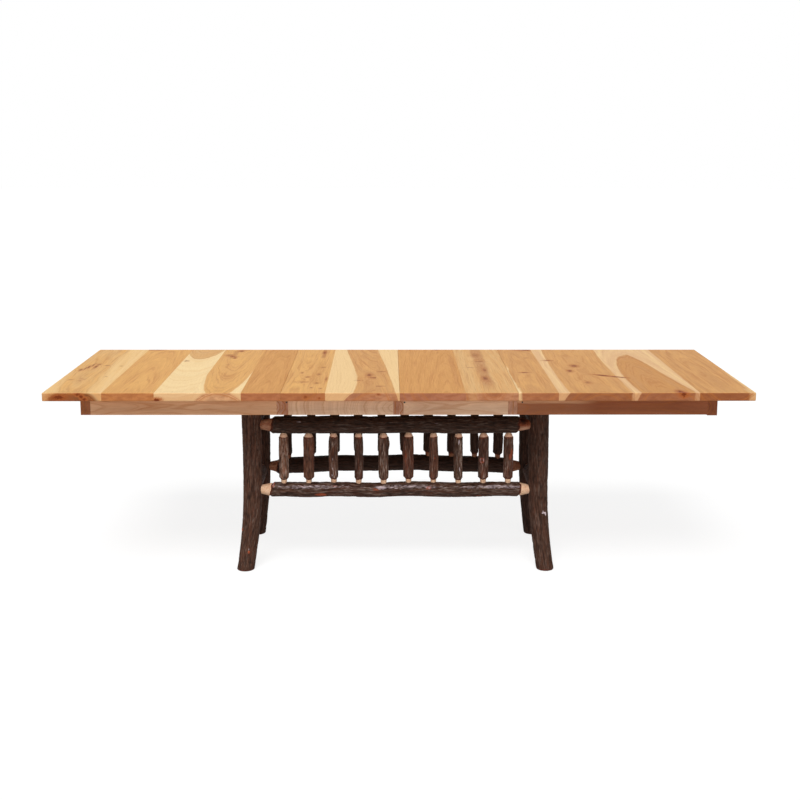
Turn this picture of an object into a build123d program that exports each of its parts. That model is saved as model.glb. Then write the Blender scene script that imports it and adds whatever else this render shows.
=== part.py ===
from build123d import *
import os
from math import acos, cos, pi, radians, sin, tan

# Rustic hickory extension table: a plank top in two halves and two leaves, carried by an
# equalizer slide on a base of bark-on hickory poles.
# Millimetres. The origin is on the floor under the middle of the top.
# +X runs along the table, +Y from the front to the rear, +Z up.

# ---- Top ----
table_length = 2743.2
table_width = 1066.8
table_height = 795.0
top_thickness = 32.0
leaf_width = 457.2
seam_gap = 0.4
corner_radius = 6.0
edge_round = 3.0

# Plank widths from left to right. The last plank of each section takes what is left.
left_planks = [228.0, 201.0, 152.0, 181.0]
leaf_a_planks = [170.6, 193.0]
leaf_b_planks = [253.4]
right_planks = [154.2, 293.0, 250.0]

# ---- Apron ----
apron_height = 64.0
apron_thickness = 20.0
apron_inset = 51.0
end_overhang = 135.6
end_board = 38.0
right_end_board_drop = 3.0
left_inner_board = 20.0
right_inner_board = 30.0
leaf_a_boards = (25.0, 24.0)
leaf_b_boards = (15.0, 36.0)

# ---- Round-head pins in the apron, to the right of each seam ----
pin_seam_distance = 19.0
pin_drop = 14.5
pin_head_radius = 3.2
pin_head_height = 1.8
pin_crown = 1.2
pin_shank_radius = 1.75
pin_length = 16.0

# ---- Base ----
base_shift = -14.5
leg_span = 1179.0
row_gap = 400.0
bend_height = 380.0
splay_x = 31.0
splay_y = 60.0
foot_round = 6.0
leg_mid_height = 430.0
# Radius of each leg at the foot, at mid-height and at the top.
leg_radii = {
    "front_left": (36.5, 39.5, 41.0),
    "front_right": (36.0, 42.5, 40.5),
    "rear_left": (36.0, 40.0, 41.0),
    "rear_right": (36.5, 40.5, 41.0),
}

upper_rail_drop = 67.0
lower_rail_height = 326.0
# Each long rail: radius, shoulder distance from the leg's axis, bow up, waviness.
long_rails = {
    "front_upper": (36.0, 80.5, 0.0, 1.0),
    "front_lower": (31.0, 73.5, -1.0, 2.5),
    "rear_upper": (35.0, 77.0, 2.0, -1.5),
    "rear_lower": (35.5, 71.0, 15.0, 2.0),
}
end_rail_radii = {"upper": 34.0, "lower": 31.0}
end_rail_shoulder = 74.0

# A peeled tenon narrows from the shoulder to the leg, then runs into the leg as a cylinder.
tenon_shoulder_radius = 27.0
tenon_neck_radius = 18.0
tenon_radius = 15.0
tenon_neck_distance = 34.5
tenon_end_distance = 17.0
shoulder_bevel = 5.0
shoulder_inset = 4.0
mortise_fit = 0.15

# Poles swell and shrink along their length by this share, at this many radians per section.
pole_swell = 0.02
swell_rate = 0.9
leg_sections = 8
long_rail_sections = 12
end_rail_sections = 4
spindle_sections = 4

spindle_count = 10
spindle_pitch = 102.9
spindle_shift = {"front": 2.5, "rear": -8.0}
spindle_radius = 20.0
spindle_radius_spread = 2.0
spindle_bend = 2.0
spindle_bevel = 9.0
spindle_bark_edge = 1.0
spindle_neck_radius = 11.5
spindle_neck_bottom = 10.0
spindle_neck_top = 13.0
spindle_tenon_depth = 22.0

# ---- Equalizer slides ----
slide_unit_distance = 150.0
bed_length = 1240.0
bed_width = 34.0
bed_drop = 1.0
batten_height = 16.0
runner_height = 46.0
runner_width = 36.0
runner_bed_gap = 0.5
runner_end_gap = 18.0
runner_reach = 95.0
runner_floor_gap = 3.0
cleat_height = 32.0
cleat_width = 90.0
board_slide_gap = 1.0
leaf_rest_gap = 0.3

tongue_depth = 8.0
tongue_root = 10.0
tongue_tip = 14.0
tongue_height = 10.0
tongue_gap = 0.4

open_travel = 40.0

# ---- Pinions and racks ----
gear_module = 2.5
gear_teeth = 16
pressure_angle = 20.0
addendum = 2.25
dedendum = 2.9
backlash = 0.15
pinion_height = 10.0
pinion_drop = 16.0
pinion_slot_gap = 0.5
pinion_slot_end = 1.0
rack_slot_gap = 1.5
rack_margin = 30.0
pinion_pin_radius = 4.0
pinion_bore_fit = 0.08
pin_seat = 2.5

# ---- Screws ----
screw_fit = 0.1
lag_radius = 3.5
lag_head_radius = 7.0
lag_depth = 45.0
bed_screw_radius = 2.5
bed_screw_head_radius = 5.0
bed_screw_depth = 20.0
top_screw_radius = 2.25
top_screw_head_radius = 5.5
top_screw_depth = 18.0
top_screw_recess = 22.0
top_screw_bore_radius = 6.5
screw_head_height = 5.0
top_screws_per_runner = 4
top_screw_margin = 45.0

# ---- Heights and places that follow from the sizes above ----
underside = table_height - top_thickness
apron_bottom = underside - apron_height
runner_top = underside - batten_height
runner_bottom = runner_top - runner_height
cleat_top = runner_bottom - runner_floor_gap
leg_top = cleat_top - cleat_height
upper_rail_height = leg_top - upper_rail_drop
bed_top = runner_top - bed_drop
tongue_middle = runner_bottom + tongue_height
pinion_middle = runner_top - pinion_drop

apron_face = table_width / 2 - apron_inset
apron_inside = apron_face - apron_thickness
apron_end = table_length / 2 - end_overhang
seam_half = seam_gap / 2
leaf_count = 2
close_travel = leaf_width * leaf_count / 2

runner_inner = bed_width / 2 + runner_bed_gap
runner_outer = runner_inner + runner_width
board_gap_half = runner_outer + board_slide_gap
unit_centres = (-slide_unit_distance, slide_unit_distance)

pitch_radius = gear_module * gear_teeth / 2
tip_radius = pitch_radius + addendum
root_radius = pitch_radius - dedendum
rack_pitch = pi * gear_module


# ---- Small helpers ----
def block(x_range, y_range, z_range):
    """Box between its low and high faces."""
    size = [high - low for low, high in (x_range, y_range, z_range)]
    corner = Pos(x_range[0], y_range[0], z_range[0])
    return corner * Box(*size, align=(Align.MIN, Align.MIN, Align.MIN))


def ordered(first, second):
    """The two values, low one first."""
    return (min(first, second), max(first, second))


def along(start, direction):
    """Plane at start whose Z axis is the direction."""
    return Plane(origin=start, z_dir=direction)


def rod(start, direction, radius, length):
    """Cylinder from start along direction."""
    cylinder = Cylinder(radius, length, align=(Align.CENTER, Align.CENTER, Align.MIN))
    return along(start, direction) * cylinder


def taper(start, direction, first_radius, last_radius, length):
    """Cone from start along direction."""
    cone = Cone(first_radius, last_radius, length, align=(Align.CENTER, Align.CENTER, Align.MIN))
    return along(start, direction) * cone


def smooth(share):
    """Ease from 0 to 1."""
    share = min(1.0, max(0.0, share))
    return share * share * (3 - 2 * share)


def save(name, *shapes):
    """Write the solids of one sub-part to its own file."""
    solids = [solid for shape in shapes for solid in shape.solids()]
    export_step(Compound(children=solids), f"parts/{name}.step")


# ---- Base of hickory poles ----
def leg_signs(name):
    """Side of the base that a leg stands on, as signs along X and Y."""
    row, end = name.split("_")
    return (-1 if end == "left" else 1, -1 if row == "front" else 1)


def leg_centre(x_sign, y_sign, height):
    """Centre of a leg: upright at the top, flared towards the foot."""
    flare = max(0.0, (bend_height - height) / bend_height) ** 2
    x = base_shift + x_sign * (leg_span / 2 + splay_x * flare)
    y = y_sign * (row_gap / 2 + splay_y * flare)
    return Vector(x, y, height)


def leg_radius(name, height):
    """Radius of a leg at a height."""
    foot, middle, top = leg_radii[name]
    if height < leg_mid_height:
        return foot + (middle - foot) * smooth(height / leg_mid_height)
    return middle + (top - middle) * smooth((height - leg_mid_height) / (leg_top - leg_mid_height))


def peeled_tenon(start, direction, shoulder_distance, grow=0.0):
    """Cone and round tenon from a bark shoulder towards a leg's axis."""
    cone_length = shoulder_distance - tenon_neck_distance
    tenon_length = tenon_neck_distance - tenon_end_distance + grow
    cone = taper(start, direction, tenon_shoulder_radius + grow, tenon_neck_radius + grow, cone_length)
    neck = start + direction * cone_length
    return cone + rod(neck, direction, tenon_radius + grow, tenon_length)


def rail_ends(row):
    """Leg axes that a long rail runs between, at the rail's height."""
    y_sign = -1 if row.startswith("front") else 1
    height = upper_rail_height if row.endswith("upper") else lower_rail_height
    return [leg_centre(x_sign, y_sign, height) for x_sign in (-1, 1)]


def rail_shoulders(row):
    """The bark shoulders of a long rail."""
    left, right = rail_ends(row)
    distance = long_rails[row][1]
    return left + Vector(distance, 0, 0), right - Vector(distance, 0, 0)


def rail_centre(row, x):
    """Centre of a long rail at a place along it, with its bow and waviness."""
    left, right = rail_shoulders(row)
    middle = (left.X + right.X) / 2
    share = (x - middle) / (right.X - middle)
    bow, wave = long_rails[row][2:]
    fade = 1 - share * share
    rise = fade * (bow + wave * sin(3 * pi * share))
    sway = fade * wave * cos(2 * pi * share)
    return Vector(x, left.Y + sway, left.Z + rise)


def swelling(radius, sections):
    """Radii along a pole that swells and shrinks a little."""
    return [radius * (1 + pole_swell * sin(swell_rate * step)) for step in range(sections + 1)]


def bark_pole(centres, radii, direction):
    """Pole through round sections that all face the same direction."""
    sections = [along(centre, direction) * Circle(radius) for centre, radius in zip(centres, radii)]
    return loft([section.face() for section in sections])


def bevelled_end(centre, direction, radius):
    """Bevelled bark edge at a pole's shoulder."""
    return taper(centre, direction, radius, radius - shoulder_inset, shoulder_bevel)


def leg_tenon_joints(name):
    """Start, direction and shoulder distance of the tenons that enter a leg."""
    x_sign, y_sign = leg_signs(name)
    row = name.split("_")[0]
    for level, height in (("upper", upper_rail_height), ("lower", lower_rail_height)):
        axis = leg_centre(x_sign, y_sign, height)
        along_x = Vector(x_sign, 0, 0)
        along_y = Vector(0, y_sign, 0)
        distance = long_rails[f"{row}_{level}"][1]
        yield axis - along_x * distance, along_x, distance
        yield axis - along_y * end_rail_shoulder, along_y, end_rail_shoulder


def leg(name):
    """Hickory leg with its mortises and the hole for the cleat's lag screw."""
    x_sign, y_sign = leg_signs(name)
    heights = [leg_top * step / leg_sections for step in range(leg_sections + 1)]
    centres = [leg_centre(x_sign, y_sign, height) for height in heights]
    radii = [leg_radius(name, height) for height in heights]
    pole = bark_pole(centres, radii, Vector(0, 0, 1))
    foot_edge = pole.edges().sort_by(Axis.Z)[0]
    pole = fillet(foot_edge, foot_round)
    for start, direction, distance in leg_tenon_joints(name):
        pole -= peeled_tenon(start, direction, distance, mortise_fit)
    pilot_depth = lag_depth + screw_fit
    top = leg_centre(x_sign, y_sign, leg_top)
    return pole - rod(top, Vector(0, 0, -1), lag_radius + screw_fit, pilot_depth)


def spindle_axes(row):
    """Upright axes of a row's spindles, as points at floor level."""
    first = base_shift + spindle_shift[row] - spindle_pitch * (spindle_count - 1) / 2
    y = row_gap / 2 if row == "rear" else -row_gap / 2
    return [Vector(first + spindle_pitch * index, y, 0) for index in range(spindle_count)]


def spindle_seats(row, axis):
    """Where a spindle's axis meets the top of the lower rail and the bottom of the upper rail."""
    seats = []
    for level, side in (("lower", 1), ("upper", -1)):
        rail = f"{row}_{level}"
        height = rail_centre(rail, axis.X).Z + side * long_rails[rail][0]
        seats.append(Vector(axis.X, axis.Y, height))
    return seats


def long_rail(row):
    """Long rail between two legs, with mortises for its spindles."""
    left, right = rail_shoulders(row)
    radius, distance = long_rails[row][:2]
    first = left + Vector(shoulder_bevel, 0, 0)
    last = right - Vector(shoulder_bevel, 0, 0)
    step_length = (last.X - first.X) / long_rail_sections
    places = [first.X + step_length * step for step in range(long_rail_sections + 1)]
    centres = [rail_centre(row, x) for x in places]
    centres[0] = first
    centres[-1] = last
    radii = swelling(radius, long_rail_sections)
    pole = bark_pole(centres, radii, Vector(1, 0, 0))
    for end, radius_here, direction, shoulder in (
        (first, radii[0], Vector(-1, 0, 0), left),
        (last, radii[-1], Vector(1, 0, 0), right),
    ):
        pole += bevelled_end(end, direction, radius_here)
        pole += peeled_tenon(shoulder, direction, distance)
    side, level = row.split("_")
    into_rail = Vector(0, 0, 1 if level == "upper" else -1)
    for axis in spindle_axes(side):
        seat = spindle_seats(side, axis)[1 if level == "upper" else 0]
        depth = spindle_tenon_depth + mortise_fit
        start = seat - into_rail * radius
        pole -= rod(start, into_rail, spindle_neck_radius + mortise_fit, radius + depth)
    return pole


def end_rail(x_sign, level):
    """End rail between a front leg and a rear leg."""
    height = upper_rail_height if level == "upper" else lower_rail_height
    radius = end_rail_radii[level]
    front = leg_centre(x_sign, -1, height) + Vector(0, end_rail_shoulder, 0)
    rear = leg_centre(x_sign, 1, height) - Vector(0, end_rail_shoulder, 0)
    first = front + Vector(0, shoulder_bevel, 0)
    last = rear - Vector(0, shoulder_bevel, 0)
    shares = [step / end_rail_sections for step in range(end_rail_sections + 1)]
    centres = [first + (last - first) * share for share in shares]
    radii = swelling(radius, end_rail_sections)
    pole = bark_pole(centres, radii, Vector(0, 1, 0))
    for end, radius_here, direction, shoulder in (
        (first, radii[0], Vector(0, -1, 0), front),
        (last, radii[-1], Vector(0, 1, 0), rear),
    ):
        pole += bevelled_end(end, direction, radius_here)
        pole += peeled_tenon(shoulder, direction, end_rail_shoulder)
    return pole


def spindle(row, index):
    """Spindle between the long rails of a row, with a peeled neck at each end."""
    up = Vector(0, 0, 1)
    lower, upper = spindle_seats(row, spindle_axes(row)[index])
    neck_bottom = lower - up * spindle_tenon_depth
    neck_length = upper.Z - lower.Z + 2 * spindle_tenon_depth
    first = lower + up * (spindle_neck_bottom + spindle_bevel)
    last = upper - up * (spindle_neck_top + spindle_bevel)
    seed = index + (0 if row == "front" else spindle_count)
    own_radius = spindle_radius + spindle_radius_spread * sin(1.7 * seed)
    own_bend = spindle_bend * sin(2.4 * seed)
    centres = []
    for step in range(spindle_sections + 1):
        share = step / spindle_sections
        bend = own_bend * sin(pi * share)
        centres.append(first + (last - first) * share + Vector(bend, bend / 2, 0))
    radii = swelling(own_radius, spindle_sections)
    pole = bark_pole(centres, radii, up)
    bevel_end = spindle_neck_radius + spindle_bark_edge
    pole += taper(first, -up, radii[0], bevel_end, spindle_bevel)
    pole += taper(last, up, radii[-1], bevel_end, spindle_bevel)
    return pole + rod(neck_bottom, up, spindle_neck_radius, neck_length)


# ---- Screws ----
def countersunk_screw(head_face, direction, radius, head_radius, length, grow=0.0):
    """Screw that starts with its head flush at head_face and runs along direction."""
    head = taper(head_face, direction, head_radius + grow, radius + grow, screw_head_height)
    return head + rod(head_face, direction, radius + grow, length + grow)


def leg_lags(grow=0.0):
    """Lag screws through the cleats into the leg tops."""
    screws = []
    for name in leg_radii:
        head_face = leg_centre(*leg_signs(name), leg_top) + Vector(0, 0, cleat_height)
        length = cleat_height + lag_depth
        down = Vector(0, 0, -1)
        screws.append(countersunk_screw(head_face, down, lag_radius, lag_head_radius, length, grow))
    return screws


def bed_screws(grow=0.0):
    """Screws up through the cleats into the slide beds."""
    screws = []
    for x_sign in (-1, 1):
        for unit_y in unit_centres:
            head_face = Vector(base_shift + x_sign * leg_span / 2, unit_y, leg_top)
            length = cleat_height + bed_screw_depth
            up = Vector(0, 0, 1)
            radius, head = bed_screw_radius, bed_screw_head_radius
            screws.append(countersunk_screw(head_face, up, radius, head, length, grow))
    return screws


def runner_side(half_sign):
    """Side of the bed that a half's runner lies on: behind it for the left half."""
    return -half_sign


def top_screw_places(half_sign):
    """Places of the screws that hold a half's runners to its top."""
    outer = apron_end - end_board - runner_end_gap - top_screw_margin
    inner = leaf_width + max(left_inner_board, right_inner_board) + top_screw_margin
    step = (outer - inner) / (top_screws_per_runner - 1)
    for unit_y in unit_centres:
        y = unit_y + runner_side(half_sign) * (runner_inner + runner_width / 2)
        for index in range(top_screws_per_runner):
            yield half_sign * (inner + step * index), y


def top_screws(half_sign, grow=0.0):
    """Screws up through the runners and battens into the top."""
    screws = []
    head_z = runner_bottom + top_screw_recess
    length = underside + top_screw_depth - head_z
    for x, y in top_screw_places(half_sign):
        head_face = Vector(x, y, head_z)
        up = Vector(0, 0, 1)
        radius, head = top_screw_radius, top_screw_head_radius
        screws.append(countersunk_screw(head_face, up, radius, head, length, grow))
    return screws


def top_screw_bores(half_sign):
    """Recesses below the screw heads in the runners."""
    up = Vector(0, 0, 1)
    return [
        rod(Vector(x, y, runner_bottom), up, top_screw_bore_radius, top_screw_recess)
        for x, y in top_screw_places(half_sign)
    ]


# ---- Slides ----
def tongue_profile(unit_y, side, grow):
    """Dovetail tongue section, pointing from a runner into the bed."""
    root_y = unit_y + side * (runner_inner + grow)
    tip_y = unit_y + side * (runner_inner - tongue_depth - grow)
    root_half = tongue_root / 2 + grow
    tip_half = tongue_tip / 2 + grow
    return [
        (root_y, tongue_middle - root_half),
        (tip_y, tongue_middle - tip_half),
        (tip_y, tongue_middle + tip_half),
        (root_y, tongue_middle + root_half),
    ]


def tongue(unit_y, side, x_range, grow=0.0):
    """Dovetail tongue of a runner, or with grow the groove that it slides in."""
    start, end = x_range
    points = [(start, y, z) for y, z in tongue_profile(unit_y, side, grow)]
    section = make_face(Polyline(*points, close=True))
    return extrude(section, end - start, dir=(1, 0, 0))


def slide_bed(unit_y):
    """Fixed bar between two runners, grooved on both sides and slotted for the pinion."""
    x_range = (base_shift - bed_length / 2, base_shift + bed_length / 2)
    y_range = (unit_y - bed_width / 2, unit_y + bed_width / 2)
    bed = block(x_range, y_range, (cleat_top, bed_top))
    for side in (-1, 1):
        bed -= tongue(unit_y, side, x_range, tongue_gap)
    slot_half = tip_radius + pinion_slot_end
    slot_z = pinion_height / 2 + pinion_slot_gap
    bed -= block(
        (base_shift - slot_half, base_shift + slot_half),
        y_range,
        (pinion_middle - slot_z, pinion_middle + slot_z),
    )
    return bed - pinion_pin(unit_y, screw_fit)


def pinion_pin(unit_y, grow=0.0):
    """Upright pin that a pinion turns on."""
    bottom = Vector(base_shift, unit_y, cleat_top + pin_seat - grow)
    length = bed_top - pin_seat - bottom.Z + 2 * grow
    return rod(bottom, Vector(0, 0, 1), pinion_pin_radius + grow, length)


def tooth_angle(radius):
    """Half the angle that a pinion tooth takes up at a radius."""
    base_radius = pitch_radius * cos(radians(pressure_angle))
    slope = acos(min(1.0, base_radius / radius))
    pitch_slope = radians(pressure_angle)
    widening = (tan(pitch_slope) - pitch_slope) - (tan(slope) - slope)
    return pi / (2 * gear_teeth) - backlash / (2 * pitch_radius) + widening


def polar(radius, angle):
    """Point in the XY plane."""
    return Vector(radius * cos(angle), radius * sin(angle), 0)


def pinion(unit_y):
    """Involute pinion with a tooth pointing at each rack."""
    base_radius = pitch_radius * cos(radians(pressure_angle))
    base_angle = tooth_angle(base_radius)
    edges = []
    for tooth in range(gear_teeth):
        middle = pi / 2 + 2 * pi * tooth / gear_teeth
        gap_end = middle + 2 * pi / gear_teeth - base_angle
        gap_middle = middle + pi / gear_teeth
        flank = [(r, tooth_angle(r)) for r in (base_radius, pitch_radius, tip_radius)]
        rise = [polar(r, middle - angle) for r, angle in flank]
        fall = [polar(r, middle + angle) for r, angle in reversed(flank)]
        root_start = polar(root_radius, middle - base_angle)
        root_end = polar(root_radius, middle + base_angle)
        edges.append(Line(root_start, rise[0]))
        edges.append(ThreePointArc(*rise))
        edges.append(ThreePointArc(rise[-1], polar(tip_radius, middle), fall[0]))
        edges.append(ThreePointArc(*fall))
        edges.append(Line(fall[-1], root_end))
        edges.append(ThreePointArc(root_end, polar(root_radius, gap_middle), polar(root_radius, gap_end)))
    section = make_face(Wire([edge.edge() for edge in edges]))
    wheel = extrude(section, pinion_height, dir=(0, 0, 1))
    wheel -= Cylinder(pinion_pin_radius + pinion_bore_fit, 2 * pinion_height + 1)
    return Pos(base_shift, unit_y, pinion_middle - pinion_height / 2) * wheel


def rack_spaces(unit_y, half_sign):
    """Everything that is cut from a runner to leave its rack teeth."""
    side = runner_side(half_sign)
    slope = tan(radians(pressure_angle))
    space_at_tip = rack_pitch / 4 + addendum * slope + backlash
    space_at_root = rack_pitch / 4 - dedendum * slope + backlash
    tip_y = unit_y + side * (pitch_radius - addendum)
    root_y = unit_y + side * (pitch_radius + dedendum)
    outside_y = unit_y + side * (runner_inner - 1)
    spaces_closing = int((close_travel + rack_margin) / rack_pitch)
    spaces_opening = int((open_travel + rack_margin) / rack_pitch)
    numbers = range(-spaces_opening, spaces_closing + 1)
    points = []
    for number in numbers:
        middle = base_shift + half_sign * number * rack_pitch
        points += [
            (middle - half_sign * space_at_tip, tip_y),
            (middle - half_sign * space_at_root, root_y),
            (middle + half_sign * space_at_root, root_y),
            (middle + half_sign * space_at_tip, tip_y),
        ]
    points.append((points[-1][0], outside_y))
    points.append((points[0][0], outside_y))
    slot_z = pinion_height / 2 + rack_slot_gap
    outline = [(x, y, pinion_middle - slot_z) for x, y in points]
    section = make_face(Polyline(*outline, close=True))
    return extrude(section, 2 * slot_z, dir=(0, 0, 1))


def runner(half_sign, unit_y):
    """Runner of a half, with its tongue and rack."""
    side = runner_side(half_sign)
    outer_x = half_sign * (apron_end - end_board - runner_end_gap)
    inner_x = base_shift - half_sign * runner_reach
    x_range = ordered(outer_x, inner_x)
    y_range = ordered(unit_y + side * runner_inner, unit_y + side * runner_outer)
    bar = block(x_range, y_range, (runner_bottom, runner_top))
    bar += tongue(unit_y, side, x_range)
    return bar - rack_spaces(unit_y, half_sign)


def runners(half_sign):
    """Both runners of a half, bored for their screws."""
    bars = [runner(half_sign, unit_y) for unit_y in unit_centres]
    tools = top_screw_bores(half_sign) + top_screws(half_sign, screw_fit)
    return [bar - tools for bar in bars]


def battens(half_sign, seam):
    """Strips between the runners and the top."""
    x_range = ordered(half_sign * (apron_end - end_board), seam)
    strips = []
    for unit_y in unit_centres:
        side = runner_side(half_sign)
        y_range = ordered(unit_y + side * runner_inner, unit_y + side * runner_outer)
        strip = block(x_range, y_range, (runner_top, underside))
        strips.append(strip - top_screws(half_sign, screw_fit))
    return strips


# ---- Top and apron ----
def top_section(x_range, plank_widths, outer_sign=0):
    """Planks of one section, with softened edges everywhere but at the seams."""
    y_half = table_width / 2
    slab = block(x_range, (-y_half, y_half), (underside, table_height))
    if outer_sign:
        outer_x = x_range[0] if outer_sign < 0 else x_range[1]
        corners = slab.edges().filter_by(Axis.Z).filter_by_position(Axis.X, outer_x - 1, outer_x + 1)
        slab = fillet(corners, corner_radius)
    low, high = x_range
    seams = {-1: [high], 0: [low, high], 1: [low]}[outer_sign]
    rims = slab.faces().sort_by(Axis.Z)[0].edges() + slab.faces().sort_by(Axis.Z)[-1].edges()
    soft = [rim for rim in rims if all(abs(rim.center().X - seam) > 1 for seam in seams)]
    slab = fillet(soft, edge_round)
    joints = [low]
    for width in plank_widths:
        joints.append(joints[-1] + width)
    joints.append(high)
    return [
        slab & block((left, right), (-y_half, y_half), (underside, table_height))
        for left, right in zip(joints, joints[1:])
    ]


def cross_board(x_range, y_half):
    """Board under a seam, from front to rear, in three lengths that leave room for the slides."""
    lengths = [
        (-y_half, unit_centres[0] - board_gap_half),
        (unit_centres[0] + board_gap_half, unit_centres[1] - board_gap_half),
        (unit_centres[1] + board_gap_half, y_half),
    ]
    return [block(x_range, y_range, (apron_bottom, underside)) for y_range in lengths]


def leaf_bearers(x_range):
    """Flat strips under a leaf that rest on the runners."""
    heights = (runner_top + leaf_rest_gap, underside)
    return [
        block(x_range, (unit_y - runner_outer, unit_y + runner_outer), heights)
        for unit_y in unit_centres
    ]


def side_aprons(x_range):
    """Front and rear apron boards of one section."""
    front = block(x_range, (-apron_face, -apron_inside), (apron_bottom, underside))
    rear = block(x_range, (apron_inside, apron_face), (apron_bottom, underside))
    return [front, rear]


def apron_pins(x, grow=0.0):
    """Round-head pins in the front and the rear apron."""
    pins = []
    for side in (-1, 1):
        face = Vector(x, side * apron_face, underside - pin_drop)
        outward = Vector(0, side, 0)
        shank = rod(face, -outward, pin_shank_radius + grow, pin_length + grow)
        head = rod(face, outward, pin_head_radius, pin_head_height)
        crown = head.edges().group_by(Axis.Y)[0 if side < 0 else -1]
        pins.append(shank + fillet(crown, pin_crown))
    return pins


# ---- The sub-parts ----
def write_base():
    """Legs, rails, spindles, cleats, slide beds and their fasteners."""
    for name in leg_radii:
        save(f"{name}_leg", leg(name))
    for row in long_rails:
        save(f"{row}_rail", long_rail(row))
    save("left_end_rails", end_rail(-1, "upper"), end_rail(-1, "lower"))
    save("right_end_rails", end_rail(1, "upper"), end_rail(1, "lower"))
    for row in spindle_shift:
        for index in range(spindle_count):
            save(f"{row}_spindle_{index + 1:02d}", spindle(row, index))
    cleats = []
    y_half = row_gap / 2 + cleat_width / 2
    for x_sign in (-1, 1):
        x = base_shift + x_sign * leg_span / 2
        cleat = block((x - cleat_width / 2, x + cleat_width / 2), (-y_half, y_half), (leg_top, cleat_top))
        cleats.append(cleat - leg_lags(screw_fit) - bed_screws(screw_fit))
    save("top_cleats", *cleats)
    save("slide_beds", *[slide_bed(unit_y) - bed_screws(screw_fit) for unit_y in unit_centres])
    save("base_screws", *leg_lags(), *bed_screws())
    save("pinion_pins", *[pinion_pin(unit_y) for unit_y in unit_centres])
    save("front_pinion", pinion(unit_centres[0]))
    save("rear_pinion", pinion(unit_centres[1]))


def write_half(side_name, half_sign, plank_widths, inner_thickness, drop, boards_to_face):
    """One half of the top with its apron, battens and runners."""
    seam = half_sign * (leaf_width + seam_half)
    outer_x = half_sign * table_length / 2
    planks = top_section(ordered(seam, outer_x), plank_widths, half_sign)
    screws = top_screws(half_sign, screw_fit)
    save(f"{side_name}_top", *[plank - screws for plank in planks])

    end_outer = half_sign * apron_end
    end_inner = half_sign * (apron_end - end_board)
    end_range = ordered(end_outer, end_inner)
    end_apron = block(end_range, (-apron_face, apron_face), (apron_bottom - drop, underside))
    save(f"{side_name}_end_apron", end_apron)

    inner_face = seam + half_sign * inner_thickness
    inner_half = apron_face if boards_to_face else apron_inside
    save(f"{side_name}_inner_board", *cross_board(ordered(seam, inner_face), inner_half))

    apron_start = inner_face if boards_to_face else seam
    boards = side_aprons(ordered(apron_start, end_inner))
    if not boards_to_face:
        pin_x = seam + half_sign * pin_seam_distance
        boards = [board - apron_pins(pin_x, screw_fit) for board in boards]
        save(f"{side_name}_apron_pins", *apron_pins(pin_x))
    save(f"{side_name}_side_aprons", *boards)

    save(f"{side_name}_battens", *battens(half_sign, seam))
    save(f"{side_name}_runners", *runners(half_sign))
    save(f"{side_name}_screws", *top_screws(half_sign))


def write_leaf(name, left_seam, plank_widths, board_thicknesses):
    """One leaf: planks, two cross boards and two apron boards."""
    x_range = (left_seam + seam_half, left_seam + leaf_width - seam_half)
    save(f"{name}_top", *top_section(x_range, plank_widths))
    left_range = (x_range[0], x_range[0] + board_thicknesses[0])
    right_range = (x_range[1] - board_thicknesses[1], x_range[1])
    pin_x = left_seam + pin_seam_distance
    holes = apron_pins(pin_x, screw_fit)
    boards = cross_board(left_range, apron_face) + cross_board(right_range, apron_face)
    save(f"{name}_cross_boards", *[board - holes for board in boards], *leaf_bearers(x_range))
    boards = side_aprons((left_range[1], right_range[0]))
    save(f"{name}_side_aprons", *[board - holes for board in boards])
    save(f"{name}_apron_pins", *apron_pins(pin_x))


os.makedirs("parts", exist_ok=True)
write_base()
write_half("left", -1, left_planks, left_inner_board, 0.0, True)
write_half("right", 1, right_planks, right_inner_board, right_end_board_drop, False)
write_leaf("leaf_a", -leaf_width, leaf_a_planks, leaf_a_boards)
write_leaf("leaf_b", 0.0, leaf_b_planks, leaf_b_boards)
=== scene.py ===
from collections import namedtuple
from math import pi, radians

import bpy
import numpy as np
from mathutils import Matrix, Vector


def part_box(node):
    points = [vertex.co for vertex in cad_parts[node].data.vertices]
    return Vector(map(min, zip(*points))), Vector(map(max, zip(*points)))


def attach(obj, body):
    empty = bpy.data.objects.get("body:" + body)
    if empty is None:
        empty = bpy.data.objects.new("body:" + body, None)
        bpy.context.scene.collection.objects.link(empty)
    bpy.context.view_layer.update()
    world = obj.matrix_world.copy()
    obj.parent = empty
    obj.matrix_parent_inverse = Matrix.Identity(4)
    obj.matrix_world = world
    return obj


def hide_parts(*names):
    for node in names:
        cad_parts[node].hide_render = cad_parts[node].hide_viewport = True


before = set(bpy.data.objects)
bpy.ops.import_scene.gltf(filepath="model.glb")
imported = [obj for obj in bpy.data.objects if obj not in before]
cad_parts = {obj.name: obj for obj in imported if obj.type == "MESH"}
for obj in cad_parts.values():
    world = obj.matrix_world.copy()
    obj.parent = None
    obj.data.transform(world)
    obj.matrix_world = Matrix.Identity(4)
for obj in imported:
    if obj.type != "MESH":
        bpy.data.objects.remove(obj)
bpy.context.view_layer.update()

# Looks of a rustic hickory extension table. Metres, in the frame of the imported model.

# ---- Sizes of the base's poles, as in the solids that they stand for ----
base_shift = -0.0145
leg_span = 1.179
row_gap = 0.4
bend_height = 0.38
splay_x = 0.031
splay_y = 0.06
leg_top = 0.666
leg_mid_height = 0.43
leg_rim = 0.003
foot_round = 0.006
leg_radii = {
    "front_left": (0.0365, 0.0395, 0.041),
    "front_right": (0.036, 0.0425, 0.0405),
    "rear_left": (0.036, 0.04, 0.041),
    "rear_right": (0.0365, 0.0405, 0.041),
}
rail_heights = {"upper": 0.599, "lower": 0.326}
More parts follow.
